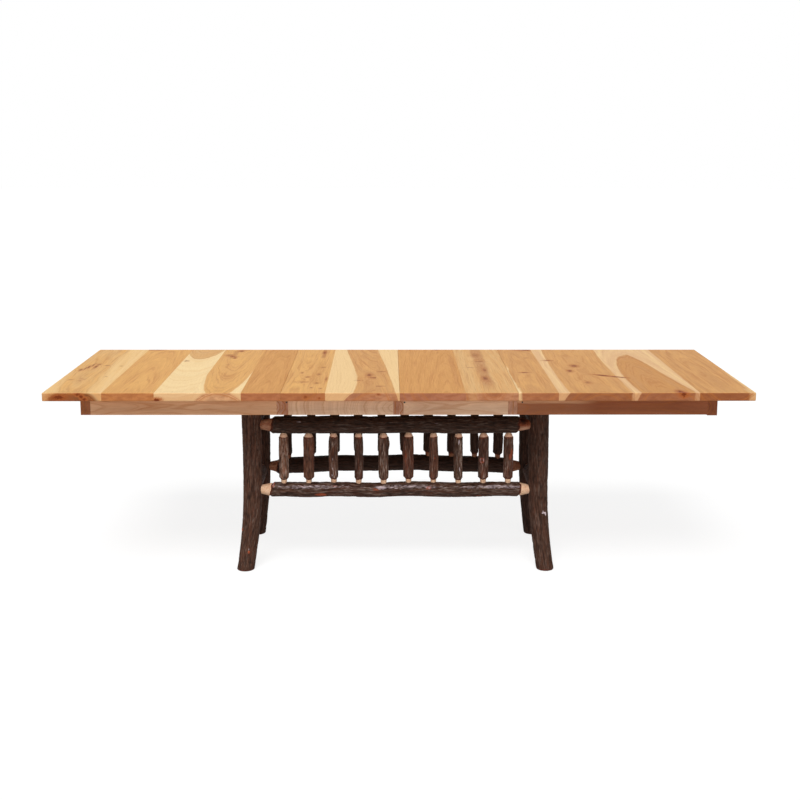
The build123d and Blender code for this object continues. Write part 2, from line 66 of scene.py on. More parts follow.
# Each long rail: radius, shoulder distance from the leg's axis, bow up, waviness.
long_rails = {
    "front_upper": (0.036, 0.0805, 0.0, 0.001),
    "front_lower": (0.031, 0.0735, -0.001, 0.0025),
    "rear_upper": (0.035, 0.077, 0.002, -0.0015),
    "rear_lower": (0.0355, 0.071, 0.015, 0.002),
}
end_rail_radii = {"upper": 0.034, "lower": 0.031}
end_rail_shoulder = 0.074
shoulder_radius = 0.027
neck_radius = 0.018
tenon_radius = 0.015
neck_distance = 0.0345
tenon_end = 0.02
bevel_length = 0.009
bevel_inset = 0.007
swell_share = 0.02
swell_turns = 1.7
short_swell_turns = 0.57

spindle_count = 10
spindle_pitch = 0.1029
spindle_shift = {"front": 0.0025, "rear": -0.008}
spindle_radius = 0.02
spindle_spread = 0.002
spindle_bend = 0.002
spindle_bevel = 0.009
spindle_neck = 0.0115
spindle_neck_bottom = 0.013
spindle_depth = 0.006
spindle_top_gap = {"front": 0.0155, "rear": 0.006}
spindle_cone = 0.013
spindle_cone_share = 0.84

# How finely each pole's mesh is divided: along the pole, and round it. The end faces of a leg
# close to a small circle of the middle radius.
pole_rows = {"leg": 230, "rail": 300, "end_rail": 90, "spindle": 62}
pole_sides = {"leg": 128, "rail": 112, "end_rail": 96, "spindle": 72}
middle_radius = 0.002

# ---- Relief of the bark ----
ridge_width = 0.0078
ridge_length = 0.07
ridge_depth = 0.0024
broad_share = 0.62
fine_ridge_width = 0.005
fine_ridge_length = 0.022
lean_length = 0.12
lean_reach = 0.012
lean_waves = 4
lump_length = 0.11
lump_height = 0.001
lump_waves = 3
edge_waves = 11
edge_wander = 0.0035
edge_reach = 0.03

# Each pole takes another part of the bark's patterns, by its seed.
pattern_step = 0.37
pattern_count = 97

# Knife facets on peeled wood, which fade out on thin necks.
facet_length = 0.05
facet_depth = 0.0004
facet_waves = 9
facet_full_radius = 0.008

# ---- Top and aprons ----
table_height = 0.795
top_thickness = 0.032
corner_radius = 0.006
edge_round = 0.003
seam_round = 0.0006
apron_bottom = 0.699
apron_face = 0.4824

# A mark on a pole: its place along it, the degrees round it, where -90 is the front of an upright
# pole and 180 the front of a rail, its half length and half width, how far it stands out, how red
# or pale it is, and how much it adds to the staining and painted shade of peeled wood.
Mark = namedtuple("Mark", "along angle length width height red pale stain", defaults=(0.0, 0.0, 0.0))


# ---- Materials ----
class Paint:
    """Short calls that add nodes to one material or to the world."""

    def __init__(self, owner, shader="Principled BSDF"):
        owner.use_nodes = True
        self.owner = owner
        self.tree = owner.node_tree
        self.shader = self.tree.nodes[shader]

    def put(self, socket, value):
        if isinstance(value, bpy.types.NodeSocket):
            self.tree.links.new(value, socket)
        else:
            socket.default_value = value

    def add(self, kind, sockets, **settings):
        node = self.tree.nodes.new("ShaderNode" + kind)
        for key, value in settings.items():
            setattr(node, key, value)
        for key, value in sockets.items():
            self.put(node.inputs[key], value)
        return node.outputs

    def math(self, operation, *values):
        return self.add("Math", dict(enumerate(values)), operation=operation)[0]

    def times(self, value, *factors):
        for factor in factors:
            value = self.math("MULTIPLY", value, factor)
        return value

    def linear(self, value, slope, start):
        return self.math("MULTIPLY_ADD", value, slope, start)

    def minus(self, value, less):
        return self.math("SUBTRACT", value, less)

    def mix(self, share, low, high, blend="MIX"):
        sockets = {0: share, 6: low, 7: high}
        return self.add("Mix", sockets, data_type="RGBA", blend_type=blend)[2]

    def tinted(self, colour, tint):
        return self.mix(1.0, colour, tint, "MULTIPLY")

    def span(self, value, low, high, new_low=0.0, new_high=1.0):
        sockets = {0: value, 1: low, 2: high, 3: new_low, 4: new_high}
        return self.add("MapRange", sockets, interpolation_type="SMOOTHSTEP")[0]

    def scaled(self, where, sizes):
        factors = tuple(1 / size for size in sizes)
        return self.add("VectorMath", {0: where, 1: factors}, operation="MULTIPLY")[0]

    def noise(self, where, sizes, detail=2.0, roughness=0.5):
        where = self.scaled(where, sizes)
        sockets = {"Vector": where, "Scale": 1.0, "Detail": detail, "Roughness": roughness}
        return self.add("TexNoise", sockets)[0]

    def grey(self, value):
        return self.add("CombineColor", {0: value, 1: value, 2: value})[0]

    def point(self, x, y, z=0.0):
        return self.add("CombineXYZ", {0: x, 1: y, 2: z})[0]

    def parts(self, value):
        return tuple(self.add("SeparateXYZ", {0: value}))

    def length(self, value):
        return self.add("VectorMath", {0: value}, operation="LENGTH")["Value"]

    def coordinates(self, name):
        return self.add("TexCoord", {})[name]

    def attribute(self, name, output="Fac"):
        return self.add("Attribute", {}, attribute_name=name)[output]

    def fill(self, sockets):
        for name, value in sockets.items():
            self.put(self.shader.inputs[name], value)

    def surface(self, colour, roughness, specular=0.5, metallic=0.0):
        self.fill({"Base Color": colour, "Roughness": roughness})
        self.fill({"Specular IOR Level": specular, "Metallic": metallic})

    def bump(self, height, distance, strength):
        sockets = {"Height": height, "Distance": distance, "Strength": strength}
        self.fill({"Normal": self.add("Bump", sockets)[0]})

    def show_backdrop(self, backdrop, output):
        """Shows the backdrop itself to the camera, and the shader's light to everything else."""
        rays = self.add("LightPath", {})
        seen = self.math("MAXIMUM", rays["Is Camera Ray"], rays["Is Glossy Ray"])
        seen = self.math("MAXIMUM", seen, rays["Is Transmission Ray"])
        both = self.add("MixShader", {0: seen, 1: self.shader.outputs[0], 2: backdrop})[0]
        self.put(self.tree.nodes[output].inputs["Surface"], both)


def rgb(red, green, blue):
    """Colour from its sRGB values of 0 to 255."""
    values = [channel / 255 for channel in (red, green, blue)]
    linear = [v / 12.92 if v <= 0.04045 else ((v + 0.055) / 1.055) ** 2.4 for v in values]
    return (*linear, 1.0)


# ---- Bark and peeled wood ----
furrow_colour = rgb(30, 18, 13)
ridge_colour = rgb(93, 61, 45)
dark_rust = rgb(44, 20, 14)
bright_rust = rgb(116, 62, 44)
# Pale wear on the ridge crests, and a painted sheen in the same colour.
pale_wear_and_sheen_colour = rgb(172, 153, 141)
inner_bark_shade = rgb(64, 28, 20)
inner_bark = rgb(136, 68, 46)
peeled_shade = rgb(208, 154, 120)
peeled_wood = rgb(238, 206, 172)
# Brown staining of peeled wood, which on the upper and rear tenons and necks is also painted shade.
stain_and_painted_shade_dark = rgb(96, 42, 24)
stain_and_painted_shade_tan = rgb(164, 90, 56)
deep_stain = rgb(44, 20, 14)
# Pink wood, lighter than the peeled wood: partly its own colour, partly painted light in shade.
pink_wood_and_painted_light = rgb(255, 200, 168)
# Marks in the bark: the attribute, where it sets in and is full, and the mark's two colours.
# The pale marks' lilac colours serve for pale bark and also for painted highlights and sheen.
bark_marks = (
    ("red", 0.25, 0.6, rgb(104, 42, 28), rgb(174, 90, 58)),
    ("pale", 0.3, 0.65, rgb(144, 125, 130), rgb(228, 211, 214)),
)


def bark_colour(paint, where, crests, plates, light):
    """Furrows, ridges with pale wear and a painted sheen, and rust-red patches, at the pole's own tone."""
    patches = paint.noise(where, (0.025, 0.025, 0.11), 3.0)
    colour = paint.mix(light, furrow_colour, ridge_colour)
    rust = paint.times(paint.span(patches, 0.4, 0.62, 0.25, 1.0), paint.attribute("rust"))
    colour = paint.mix(rust, colour, paint.mix(light, dark_rust, bright_rust))
    # Pale wear on the ridge crests, with a painted sheen in the same colour.
    crests = paint.span(crests, 0.44, 0.66)
    ridges = paint.span(paint.attribute("ridge"), 0.2, 0.9, 0.3, 1.0)
    plates = paint.span(plates, 0.35, 0.6, 0.2, 1.0)
    wear_and_sheen_share = paint.times(crests, ridges, plates, paint.attribute("scuff"))
    colour = paint.mix(wear_and_sheen_share, colour, pale_wear_and_sheen_colour)
    return paint.tinted(colour, paint.grey(paint.attribute("tone")))


def peeled_colour(paint, where):
    """Peeled wood, stained and painted darker as shade as the pole says, with pink places partly painted
    light, and dark places.
    """
    grain = paint.span(paint.noise(where, (0.0022, 0.0022, 0.012), 3.0, 0.6), 0.3, 0.7)
    bands = paint.noise(where, (0.012, 0.012, 0.035), 2.0)
    stain = paint.attribute("stain")
    share = paint.times(paint.span(bands, 0.35, 0.65, 0.8, 1.0), stain)
    wood = paint.mix(grain, peeled_shade, peeled_wood)
    # Brown staining, which is also painted shade on shaded tenons and necks.
    wood = paint.mix(share, wood, paint.mix(grain, stain_and_painted_shade_dark, stain_and_painted_shade_tan))
    # Pink wood, partly painted light in shade.
    wood = paint.mix(paint.span(paint.attribute("red"), 0.0, 1.0), wood, pink_wood_and_painted_light)
    return paint.mix(paint.span(stain, 1.0, 2.0), wood, deep_stain)


def bark_material():
    """Bark with ridges and furrows, peeled tenons, and the inner bark between them."""
    paint = Paint(bpy.data.materials.new("hickory_pole"))
    where = paint.attribute("pole", "Vector")
    fibre = paint.noise(where, (0.0038, 0.0038, 0.034), 4.0, 0.7)
    plates = paint.noise(where, (0.01, 0.01, 0.07), 2.0)
    crests = paint.noise(where, (0.0034, 0.0034, 0.032), 3.0, 0.65)
    ragged = paint.minus(paint.noise(where, (0.0034, 0.0034, 0.016), 2.0), 0.5)
    light = paint.span(fibre, 0.38, 0.66, 0.0, 0.55)
    light = paint.linear(paint.attribute("ridge"), 0.5, light)

    colour = bark_colour(paint, where, crests, plates, light)
    for name, low, high, shade, bright in bark_marks:
        mark = paint.linear(ragged, 0.9, paint.attribute(name))
        colour = paint.mix(paint.span(mark, low, high), colour, paint.mix(light, shade, bright))
    edge = paint.linear(ragged, 1.1, paint.attribute("peel"))
    inner = paint.mix(light, inner_bark_shade, inner_bark)
    colour = paint.mix(paint.span(edge, -0.75, -0.25), colour, inner)
    colour = paint.mix(paint.span(edge, 0.15, 0.5), colour, peeled_colour(paint, where))
    paint.surface(colour, paint.span(fibre, 0.3, 0.8, 0.8, 0.6), 0.12)
    height = paint.linear(plates, 0.6, paint.linear(crests, 0.4, fibre))
    paint.bump(height, 0.0022, 0.8)
    return paint.owner


# A pole's own look: how light it is, how much of its ridges has pale wear and a painted sheen, how red
# its bark is, and how much its peeled wood is stained brown and painted darker as shade.
Bark = namedtuple("Bark", "tone scuff rust stain")
leg_bark = {
    "front_left": Bark(1.08, 0.28, 0.22, 0.5),
    "front_right": Bark(0.78, 0.26, 0.2, 0.5),
    "rear_left": Bark(0.76, 0.15, 0.35, 0.5),
    "rear_right": Bark(0.54, 0.15, 0.3, 0.5),
}
# How light a leg's bark is at its foot. It changes evenly to the leg's own tone at its top.
foot_tone = {"front_left": 0.68, "front_right": 0.68, "rear_left": 0.64, "rear_right": 0.5}
# The upper and rear rails' staining also paints their tenons darker, as shade under the top and at the back.
rail_bark = {
    "front_upper": Bark(0.54, 0.4, 0.05, 0.9),
    "front_lower": Bark(0.74, 0.6, 0.22, 0.0),
    "rear_upper": Bark(0.55, 0.15, 0.2, 0.9),
    "rear_lower": Bark(0.44, 0.15, 0.2, 0.9),
}
end_rail_bark = Bark(0.75, 0.25, 0.4, 0.7)
front_spindle_bark = [
    Bark(2.2, 0.55, 0.0, 0.0), Bark(1.65, 0.2, 0.5, 0.0), Bark(1.3, 0.8, 0.3, 0.15),
    Bark(0.84, 0.45, 0.5, 0.1), Bark(1.35, 0.65, 0.05, 0.05), Bark(1.28, 0.35, 0.65, 0.1),
    Bark(1.4, 0.35, 0.45, 0.0), Bark(1.2, 0.85, 0.05, 0.0), Bark(1.1, 0.45, 0.5, 0.1),
    Bark(1.2, 0.5, 0.45, 0.0),
]
# The rear spindles' staining also paints their necks dark, as shade.
rear_spindle_bark = Bark(0.58, 0.2, 0.35, 0.9)


# ---- Sawn boards ----
def board_axes(paint, kind, start):
    """Distances across, along and into a board, and how much a face shows end grain."""
    x, y, z = paint.parts(paint.coordinates("Object"))
    facing = paint.parts(paint.coordinates("Normal"))
    from_start = paint.minus(x, start)
    height = paint.minus(z, apron_bottom)
    if kind == "plank":
        across, along, depth = from_start, y, paint.minus(table_height, z)
    elif kind == "side":
        across, along, depth = height, from_start, paint.minus(apron_face, paint.math("ABSOLUTE", y))
    else:
        across, along, depth = height, y, from_start
    end = facing[0 if kind == "side" else 1]
    return across, along, depth, paint.span(paint.math("ABSOLUTE", end), 0.6, 0.8)


def wander(paint, share, ends_and_middle):
    """A value that takes the given ones at -1, 0 and 1 along a board."""
    first, middle, last = ends_and_middle
    bend = (first + last) / 2 - middle
    slope = (last - first) / 2
    return paint.linear(paint.linear(share, bend, slope), share, middle)


# A board's wood: the two tones of its heart and its end grain's colour; where the pith lies across
# the board and how far under its face, at the start, middle and end; where sapwood begins, its
# colour and how soft its border is; the knots and streaks, and how strong the growth lines are.
Wood = namedtuple(
    "Wood",
    "heart second end pith depth sap pale soft knots streaks lines",
    defaults=(None, None, 0.0015, (), (), 1.0),
)
# A knot: its place across, along and below the face, its half sizes, how dark it is, and how
# far it leans along the board for each metre across it.
Knot = namedtuple(
    "Knot", "across along width length strength below height lean", defaults=(0.8, 0.0, 0.03, 0.0)
)
# A streak: place across, half width, start and end along, its colour and how strong it is.
Streak = namedtuple("Streak", "across half low high colour strength")

# Tones of the planks. The lighter ones go on the left planks and the darker ones, with right_sapwood, on the
# right: partly the planks' own colours, partly painted shade deepening from left to right.
gold = rgb(225, 174, 105)
tan = rgb(215, 163, 102)
deep_tan = rgb(201, 145, 83)
orange_tan = rgb(213, 158, 95)
brown_tan = rgb(195, 143, 90)
light_tan = rgb(218, 177, 122)
sapwood = rgb(245, 217, 165)
warm_sapwood = rgb(237, 202, 147)
dull_sapwood = rgb(233, 192, 131)
leaf_sapwood = rgb(238, 203, 149)
right_sapwood = rgb(221, 179, 133)
line_colour = rgb(172, 104, 52)
knot_colour = rgb(112, 50, 22)
knot_rim = rgb(166, 92, 48)
mineral = rgb(146, 78, 42)
sap_end = rgb(226, 208, 202)
end_shade = rgb(120, 62, 38)
white = (1.0, 1.0, 1.0, 1.0)
strand_light = (1.03, 1.03, 1.02, 1.0)
strand_shade = (0.96, 0.94, 0.91, 1.0)
# Painted light and shade on a board under the top: its tone at its lower edge, darkened against
# the light from the floor, and from this height up, lightened against the shade under the top.
painted_shade_height = 0.06
painted_light_and_shade_tones = (0.76, 1.17)


def knot_shares(paint, where, rings, look):
    """Bends the rings round a board's knots. Gives the rings, the knots' cores and their rims."""
    cores = rims = 0.0
    ragged = paint.minus(paint.noise(where, (0.008, 0.014, 0.008), 3.0, 0.65), 0.5)
    for knot in look.knots:
        centre = (knot.across, knot.along, knot.below)
        offset = paint.add("VectorMath", {0: where, 1: centre}, operation="SUBTRACT")[0]
        if knot.lean:
            x, y, z = paint.parts(offset)
            offset = paint.point(x, paint.linear(x, -knot.lean, y), z)
        reach = paint.length(paint.scaled(offset, (knot.width, knot.length, knot.height)))
        reach = paint.linear(ragged, 1.8, reach)
        near = paint.span(reach, 0.2, 3.0, 1.0, 0.0)
        rings = paint.linear(near, min(knot.width, knot.length) * 0.8, rings)
        core = paint.span(reach, 0.2, 1.0, knot.strength * 0.9, 0.0)
        rim = paint.span(reach, 0.7, 2.0, knot.strength * 0.6, 0.0)
        cores = paint.math("MAXIMUM", cores, core)
        rims = paint.math("MAXIMUM", rims, rim)
    return rings, cores, rims


def streaked(paint, colour, across, along, sway, fibre, tint, streaks):
    """Long mineral or pale streaks over a board's colour."""
    for streak in streaks:
        aside = paint.minus(paint.math("ADD", across, sway), streak.across)
        near = paint.span(paint.math("ABSOLUTE", aside), streak.half * 0.4, streak.half, 1.0, 0.0)
        fade = 0.12 * (streak.high - streak.low)
        begin = paint.span(along, streak.low - fade, streak.low + fade)
        stop = paint.span(along, streak.high - fade, streak.high + fade, 1.0, 0.0)
        patchy = paint.span(fibre, 0.25, 0.65, 0.5 * streak.strength, streak.strength)
        share = paint.times(near, patchy, begin, stop)
        colour = paint.mix(share, colour, paint.tinted(streak.colour, tint))
    return colour


def heart_colour(paint, where, end, bands, look):
    """Heartwood in two tones, with the darker colours of its end grain."""
    cloud = paint.noise(where, (0.06, 0.22, 0.06), 2.0)
    heart = paint.mix(paint.span(bands, 0.32, 0.68, 0.0, 0.7), look.heart, look.second)
    heart = paint.mix(paint.span(cloud, 0.4, 0.7, 0.0, 0.4), heart, look.second)
    heart = paint.mix(paint.times(end, 0.9), heart, look.end)
    ends = paint.noise(where, (0.04, 0.3, 0.014), 2.0)
    dark_end = paint.times(end, paint.span(ends, 0.4, 0.65, 0.0, 0.35))
    return paint.mix(dark_end, heart, end_shade)


def with_sapwood(paint, where, heart, border, bands, tint, look):
    """Pale sapwood outside a ragged border. Gives the colour and the share of sapwood."""
    ragged = paint.minus(paint.noise(where, (0.006, 0.08, 0.006), 2.0), 0.5)
    border = paint.linear(ragged, 0.004, border)
    pale = paint.mix(paint.span(bands, 0.35, 0.75), look.pale or sapwood, warm_sapwood)
    outside = paint.span(border, look.sap - look.soft, look.sap + look.soft)
    return paint.mix(outside, heart, paint.tinted(pale, tint)), outside


def wood_material(name, kind, start, half_length, look):
    """Flat-sawn hickory whose rings, sapwood and knots follow the tree they came from."""
    paint = Paint(bpy.data.materials.new(name))
    across, along, depth, end = board_axes(paint, kind, start)
    where = paint.point(across, along, depth)
    share = paint.math("DIVIDE", along, half_length)

    side = paint.minus(across, wander(paint, share, look.pith))
    inward = paint.math("ADD", depth, wander(paint, share, look.depth))
    rings = paint.length(paint.point(side, inward))
    slow = paint.minus(paint.noise(where, (0.045, 0.25, 0.045), 2.0), 0.5)
    border = paint.linear(slow, 0.005, rings)
    rings = paint.linear(slow, 0.016, rings)
    rings, cores, rims = knot_shares(paint, where, rings, look)

    fibre = paint.noise(where, (0.0016, 0.06, 0.0016), 3.0, 0.6)
    strand = paint.noise(where, (0.007, 0.11, 0.007), 4.0, 0.7)
    pores = paint.noise(where, (0.0007, 0.012, 0.0007), 1.0)
    layer = paint.point(rings, paint.times(along, 0.05))
    bands = paint.noise(layer, (0.014, 0.03, 1.0), 3.0, 0.55)
    lines = paint.noise(layer, (0.004, 0.02, 1.0), 2.0, 0.6)

    colour = heart_colour(paint, where, end, bands, look)
    tint = paint.mix(end, white, sap_end)
    line_strength = 0.42 * look.lines
    strand_strength = 1.0
    if look.sap:
        colour, outside = with_sapwood(paint, where, colour, border, bands, tint, look)
        line_strength = paint.span(outside, 0.0, 1.0, line_strength, 0.25 * line_strength)
        strand_strength = paint.span(outside, 0.0, 1.0, 1.0, 0.4)

    sway = paint.times(slow, 0.02)
    colour = streaked(paint, colour, across, along, sway, fibre, tint, look.streaks)
    line_share = paint.times(paint.span(lines, 0.48, 0.68), line_strength, paint.linear(end, 0.7, 1.0))
    colour = paint.mix(line_share, colour, line_colour)
    shade = paint.mix(paint.span(strand, 0.36, 0.64), strand_light, strand_shade)
    colour = paint.mix(strand_strength, colour, shade, "MULTIPLY")
    colour = paint.mix(paint.span(fibre, 0.45, 0.75, 0.0, 0.16), colour, line_colour)
    open_pores = paint.times(paint.span(pores, 0.6, 0.8, 0.0, 0.5), paint.span(lines, 0.4, 0.6))
    colour = paint.mix(open_pores, colour, knot_rim)
    if look.knots:
        colour = paint.mix(rims, colour, knot_rim)
        cores = paint.times(cores, paint.span(fibre, 0.2, 0.5, 0.75, 1.0))
        colour = paint.mix(cores, colour, knot_colour)
    if kind != "plank":
        # Painted shade darkens the board's lower edge, and painted light lifts the rest.
        painted_light_and_shade = paint.span(across, 0.0, painted_shade_height, *painted_light_and_shade_tones)
        colour = paint.tinted(colour, paint.grey(painted_light_and_shade))
    paint.surface(colour, paint.span(pores, 0.3, 0.7, 0.48, 0.62), 0.05)
    paint.bump(paint.minus(fibre, open_pores), 0.00015, 0.5)
    return paint.owner


# ---- Metal ----
def metal_material(name, colour, roughness):
    """Plated or blackened steel with fine turning marks and a little tarnish."""
    paint = Paint(bpy.data.materials.new(name))
    where = paint.coordinates("Object")
    wear = paint.noise(where, (0.002, 0.002, 0.0006), 3.0)
    dark = tuple(channel * 0.6 for channel in colour[:3]) + (1.0,)
    colour = paint.mix(paint.span(wear, 0.35, 0.7), colour, dark)
    paint.surface(colour, paint.span(wear, 0.3, 0.7, roughness, roughness + 0.2), metallic=1.0)
    paint.bump(wear, 0.00005, 0.4)
    return paint.owner


# ---- Meshes ----
def add_object(name, data):
    added = bpy.data.objects.new(name, data)
    bpy.context.scene.collection.objects.link(added)
    return added


def finish_piece(mesh, material, body, node):
    """Object for a mesh that stands for a CAD node or a part of it."""
    piece = add_object(mesh.name, mesh)
    mesh.materials.append(material)
    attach(piece, body)
    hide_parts(node)


def tube_mesh(name, points, rows):
    """Mesh of a closed tube: the sides between its rows of points, and its two ends."""
    around = len(points) // rows
    faces = []
    for start in range(0, (rows - 1) * around, around):
        for step in range(around):
            after = (step + 1) % around
            faces.append((start + step, start + after, start + around + after, start + around + step))
    faces.append(tuple(reversed(range(around))))
    faces.append(tuple(range((rows - 1) * around, rows * around)))
    mesh = bpy.data.meshes.new(name)
    mesh.from_pydata(points, [], faces)
    return mesh


def smooth(share):
    share = np.clip(share, 0.0, 1.0)
    return share * share * (3 - 2 * share)


def lattice_noise(seed, rows, columns, share, turn):
    """Smooth noise from -1 to 1 on a pole: share runs from 0 to 1 along it, turn wraps at 1."""
    rows = max(int(round(rows)), 1)
    columns = max(int(round(columns)), 3)
    values = np.random.default_rng(seed).uniform(-1, 1, (rows + 2, columns))
    down = np.clip(share, 0, 1) * rows
    aside = (turn % 1.0) * columns
    row = down.astype(int)
    column = aside.astype(int)
    next_column = (column + 1) % columns
    column = column % columns
    v = smooth(down - row)
    u = smooth(aside - np.floor(aside))
    low = values[row, column] * (1 - u) + values[row, next_column] * u
    high = values[row + 1, column] * (1 - u) + values[row + 1, next_column] * u
    return low * (1 - v) + high * v


def bark_ridges(seed, share, turn, length, girth):
    """Long ridges that split and join: 0 in the furrows and 1 on the ridges."""
    lean = lattice_noise(seed, length / lean_length, lean_waves, share, turn) * lean_reach / girth
    turn = turn + lean
    broad = lattice_noise(seed + 1, length / ridge_length, girth / ridge_width, share, turn)
    fine = lattice_noise(seed + 2, length / fine_ridge_length, girth / fine_ridge_width, share, turn)
    broad = smooth(np.abs(broad) / 0.45)
    return broad_share * broad + (1 - broad_share) * smooth(np.abs(fine) / 0.5)


def marked(height, bark, angle, line, radii, look, marks):
    """Raises the marks in the bark. Gives its height, and how red, pale, stained and painted darker as shade
    the pole is.
    """
    red = np.zeros_like(height)
    pale = np.zeros_like(height)
    stain = np.full_like(height, look.stain)
    for mark in marks:
        across = (angle - radians(mark.angle) + pi) % (2 * pi) - pi
        reach = ((line - mark.along) / mark.length) ** 2 + (across * radii / mark.width) ** 2
        near = np.exp(-reach)
        height = height + bark * mark.height * near
        red = np.maximum(red, mark.red * near)
        pale = np.maximum(pale, mark.pale * near)
        stain = stain + mark.stain * near
    return height, red, pale, stain


def pole_piece(name, node, kind, axis, stations, seed, look, marks=(), slants=(0, 0)):
    """A pole of round sections with bark relief, peeled and slanted ends, and marks in the bark.

    Each station is a section's centre and radius, how peeled it is and how loose its bark is."""
    forward, first, second = np.roll(np.eye(3), -"xyz".index(axis), axis=0)
    places = np.array([station[0] for station in stations])
    radii, peel, loose = np.array([station[1:] for station in stations]).T[:, :, None]
    around = pole_sides[kind]
    turn = (np.arange(around) / around)[None, :]
    angle = 2 * pi * turn
    line = (places @ forward)[:, None]
    run = np.concatenate([[[0.0]], np.cumsum(np.abs(np.diff(line, axis=0)), axis=0)])
    length = run[-1, 0]
    share, turn = np.broadcast_arrays(run / length, turn)

    bark = smooth(-peel)
    ridge = bark_ridges(seed, share, turn, length, 2 * pi * radii.max())
    lumps = lattice_noise(seed + 5, length / lump_length, lump_waves, share, turn) * lump_height
    facets = lattice_noise(seed + 6, length / facet_length, facet_waves, share, turn) * facet_depth
    facets = facets * smooth(radii / facet_full_radius)
    height = bark * (ridge_depth * (ridge - 1) + lumps) + (1 - bark) * facets
    height, red, pale, stain = marked(height, bark, angle, line, radii, look, marks)
    wobble = lattice_noise(seed + 7, 1, edge_waves, share, turn) * edge_wander

    spokes = np.cos(angle)[0][:, None] * first + np.sin(angle)[0][:, None] * second
    points = places[:, None, :] + spokes[None, :, :] * (radii + height)[:, :, None]
    slant = np.where(share < 0.5, *slants) * np.sin(angle)
    points = points + forward * (loose * (wobble + slant))[:, :, None]
    mesh = tube_mesh(name, points.reshape(-1, 3).tolist(), len(places))

    # The bark's patterns lie on the pole's own round surface, and differ from pole to pole.
    unrolled = np.stack([radii * np.cos(angle), radii * np.sin(angle), run + 0 * angle], axis=2)
    unrolled = unrolled + pattern_step * (seed % pattern_count)
    mesh.attributes.new("pole", "FLOAT_VECTOR", "POINT").data.foreach_set("vector", unrolled.ravel())
    fields = {**look._asdict(), "ridge": ridge * bark, "peel": peel, "red": red, "pale": pale, "stain": stain}
    for field, values in fields.items():
        values = values + np.zeros_like(height)
        mesh.attributes.new(field, "FLOAT", "POINT").data.foreach_set("value", values.ravel())
    mesh.shade_smooth()
    finish_piece(mesh, hickory_pole, "base", node)


# ---- Poles of the base ----
def leg_centre(x_sign, y_sign, height):
    flare = np.clip((bend_height - height) / bend_height, 0, 1) ** 2
    x = base_shift + x_sign * (leg_span / 2 + splay_x * flare)
    y = y_sign * (row_gap / 2 + splay_y * flare)
    return np.array([x, y, height])


def leg_radius(name, height):
    foot, middle, top = leg_radii[name]
    if height < leg_mid_height:
        return foot + (middle - foot) * smooth(height / leg_mid_height)
    return middle + (top - middle) * smooth((height - leg_mid_height) / (leg_top - leg_mid_height))


leg_marks = {
    "front_left": [
        Mark(0.077, -82, 0.006, 0.005, 0.002, 1.0), Mark(0.09, -84, 0.008, 0.004, -0.001, 0.0, 0.5),
        Mark(0.164, -155, 0.008, 0.006, 0.003, 0.9, 0.1), Mark(0.21, -145, 0.02, 0.006, 0.001, 0.3, 0.4),
    ],
    "front_right": [
        # A knot with painted pale lilac highlights, and dents beside it.
        Mark(0.235, -60, 0.004, 0.013, 0.003, 0.0, 0.9), Mark(0.229, -50, 0.008, 0.005, 0.004, 0.0, 0.9),
        Mark(0.242, -66, 0.006, 0.004, 0.001, 0.0, 0.6), Mark(0.249, -52, 0.008, 0.01, -0.002),
        Mark(0.242, -30, 0.014, 0.014, -0.005),
    ],
    "rear_left": [Mark(0.35, 100, 0.008, 0.007, 0.003, 0.8)],
    "rear_right": [Mark(0.24, 60, 0.007, 0.006, 0.003, 0.7, 0.2)],
}


def leg_piece(name, seed):
    row, end = name.split("_")
    x_sign = -1 if end == "left" else 1
    y_sign = -1 if row == "front" else 1
    stations = []

    def station(height, radius, peeled):
        stations.append((leg_centre(x_sign, y_sign, height), radius, peeled, 0.0))

    foot = leg_radius(name, 0.0)
    for radius in np.linspace(middle_radius, foot - foot_round, 8):
        station(0.0, radius, 1.0)
    for turn in np.linspace(0.15, 1.0, 6) * pi / 2:
        height = foot_round * (1 - np.cos(turn))
        station(height, foot - foot_round * (1 - np.sin(turn)), -0.35 - 0.4 * turn / pi)
    for height in np.linspace(foot_round + leg_rim, leg_top - leg_rim, pole_rows["leg"]):
        station(height, leg_radius(name, height), -1.0)
    top = leg_radius(name, leg_top)
    station(leg_top - 0.0005, top - 0.0006, -0.6)
    for radius in np.linspace(top - 0.002, middle_radius, 8):
        station(leg_top, radius, 1.0)
    rise = np.array([entry[0][2] for entry in stations])[:, None] / leg_top
    look = leg_bark[name]
    look = look._replace(tone=foot_tone[name] + (look.tone - foot_tone[name]) * rise)
    pole_piece(f"{name}_leg_pole", f"{name}_leg", "leg", "z", stations, seed, look, leg_marks[name])


def swollen(radius, turns, share):
    """Radius of a pole that is a little thicker and thinner by turns."""
    return radius * (1 + swell_share * np.sin(2 * pi * turns * share))


def shoulder_stations(distance, bark_radius):
    """Distances from a leg's axis, radii, peeling and looseness, from the tenon to the bark."""
    rows = [(tenon_end, tenon_radius, 1.0, 0.0), (neck_distance - 0.0005, tenon_radius, 1.0, 0.0)]
    for share in np.linspace(0, 1, 14):
        at = neck_distance + (distance - neck_distance - 0.0006) * share
        rows.append((at, neck_radius + (shoulder_radius - neck_radius) * share, 1.0, share ** 3))
    rim = bark_radius - bevel_inset
    rows.append((distance - 0.0002, shoulder_radius + 0.3 * (rim - shoulder_radius), 0.2, 1.0))
    rows.append((distance, rim, -0.1, 1.0))
    for share in (0.35, 0.7, 1.0):
        rows.append((distance + bevel_length * share, rim + bevel_inset * share, -0.2 - 0.6 * share, 1.0))
    return rows


def two_ended(length, distance, kind, radius, turns):
    """Stations of a rail from one leg's axis to the other's."""
    rows = shoulder_stations(distance, radius)
    first = distance + bevel_length
    last = length - first
    for at in np.linspace(first, last, pole_rows[kind] + 2)[1:-1]:
        share = (at - first) / (last - first)
        near = max(0.0, 1 - min(at - first, last - at) / edge_reach)
        rows.append((at, swollen(radius, turns, share), -1.0, near ** 2))
    for at, radius_here, peeled, loose in reversed(shoulder_stations(distance, swollen(radius, turns, 1))):
        rows.append((length - at, radius_here, peeled, loose))
    return rows


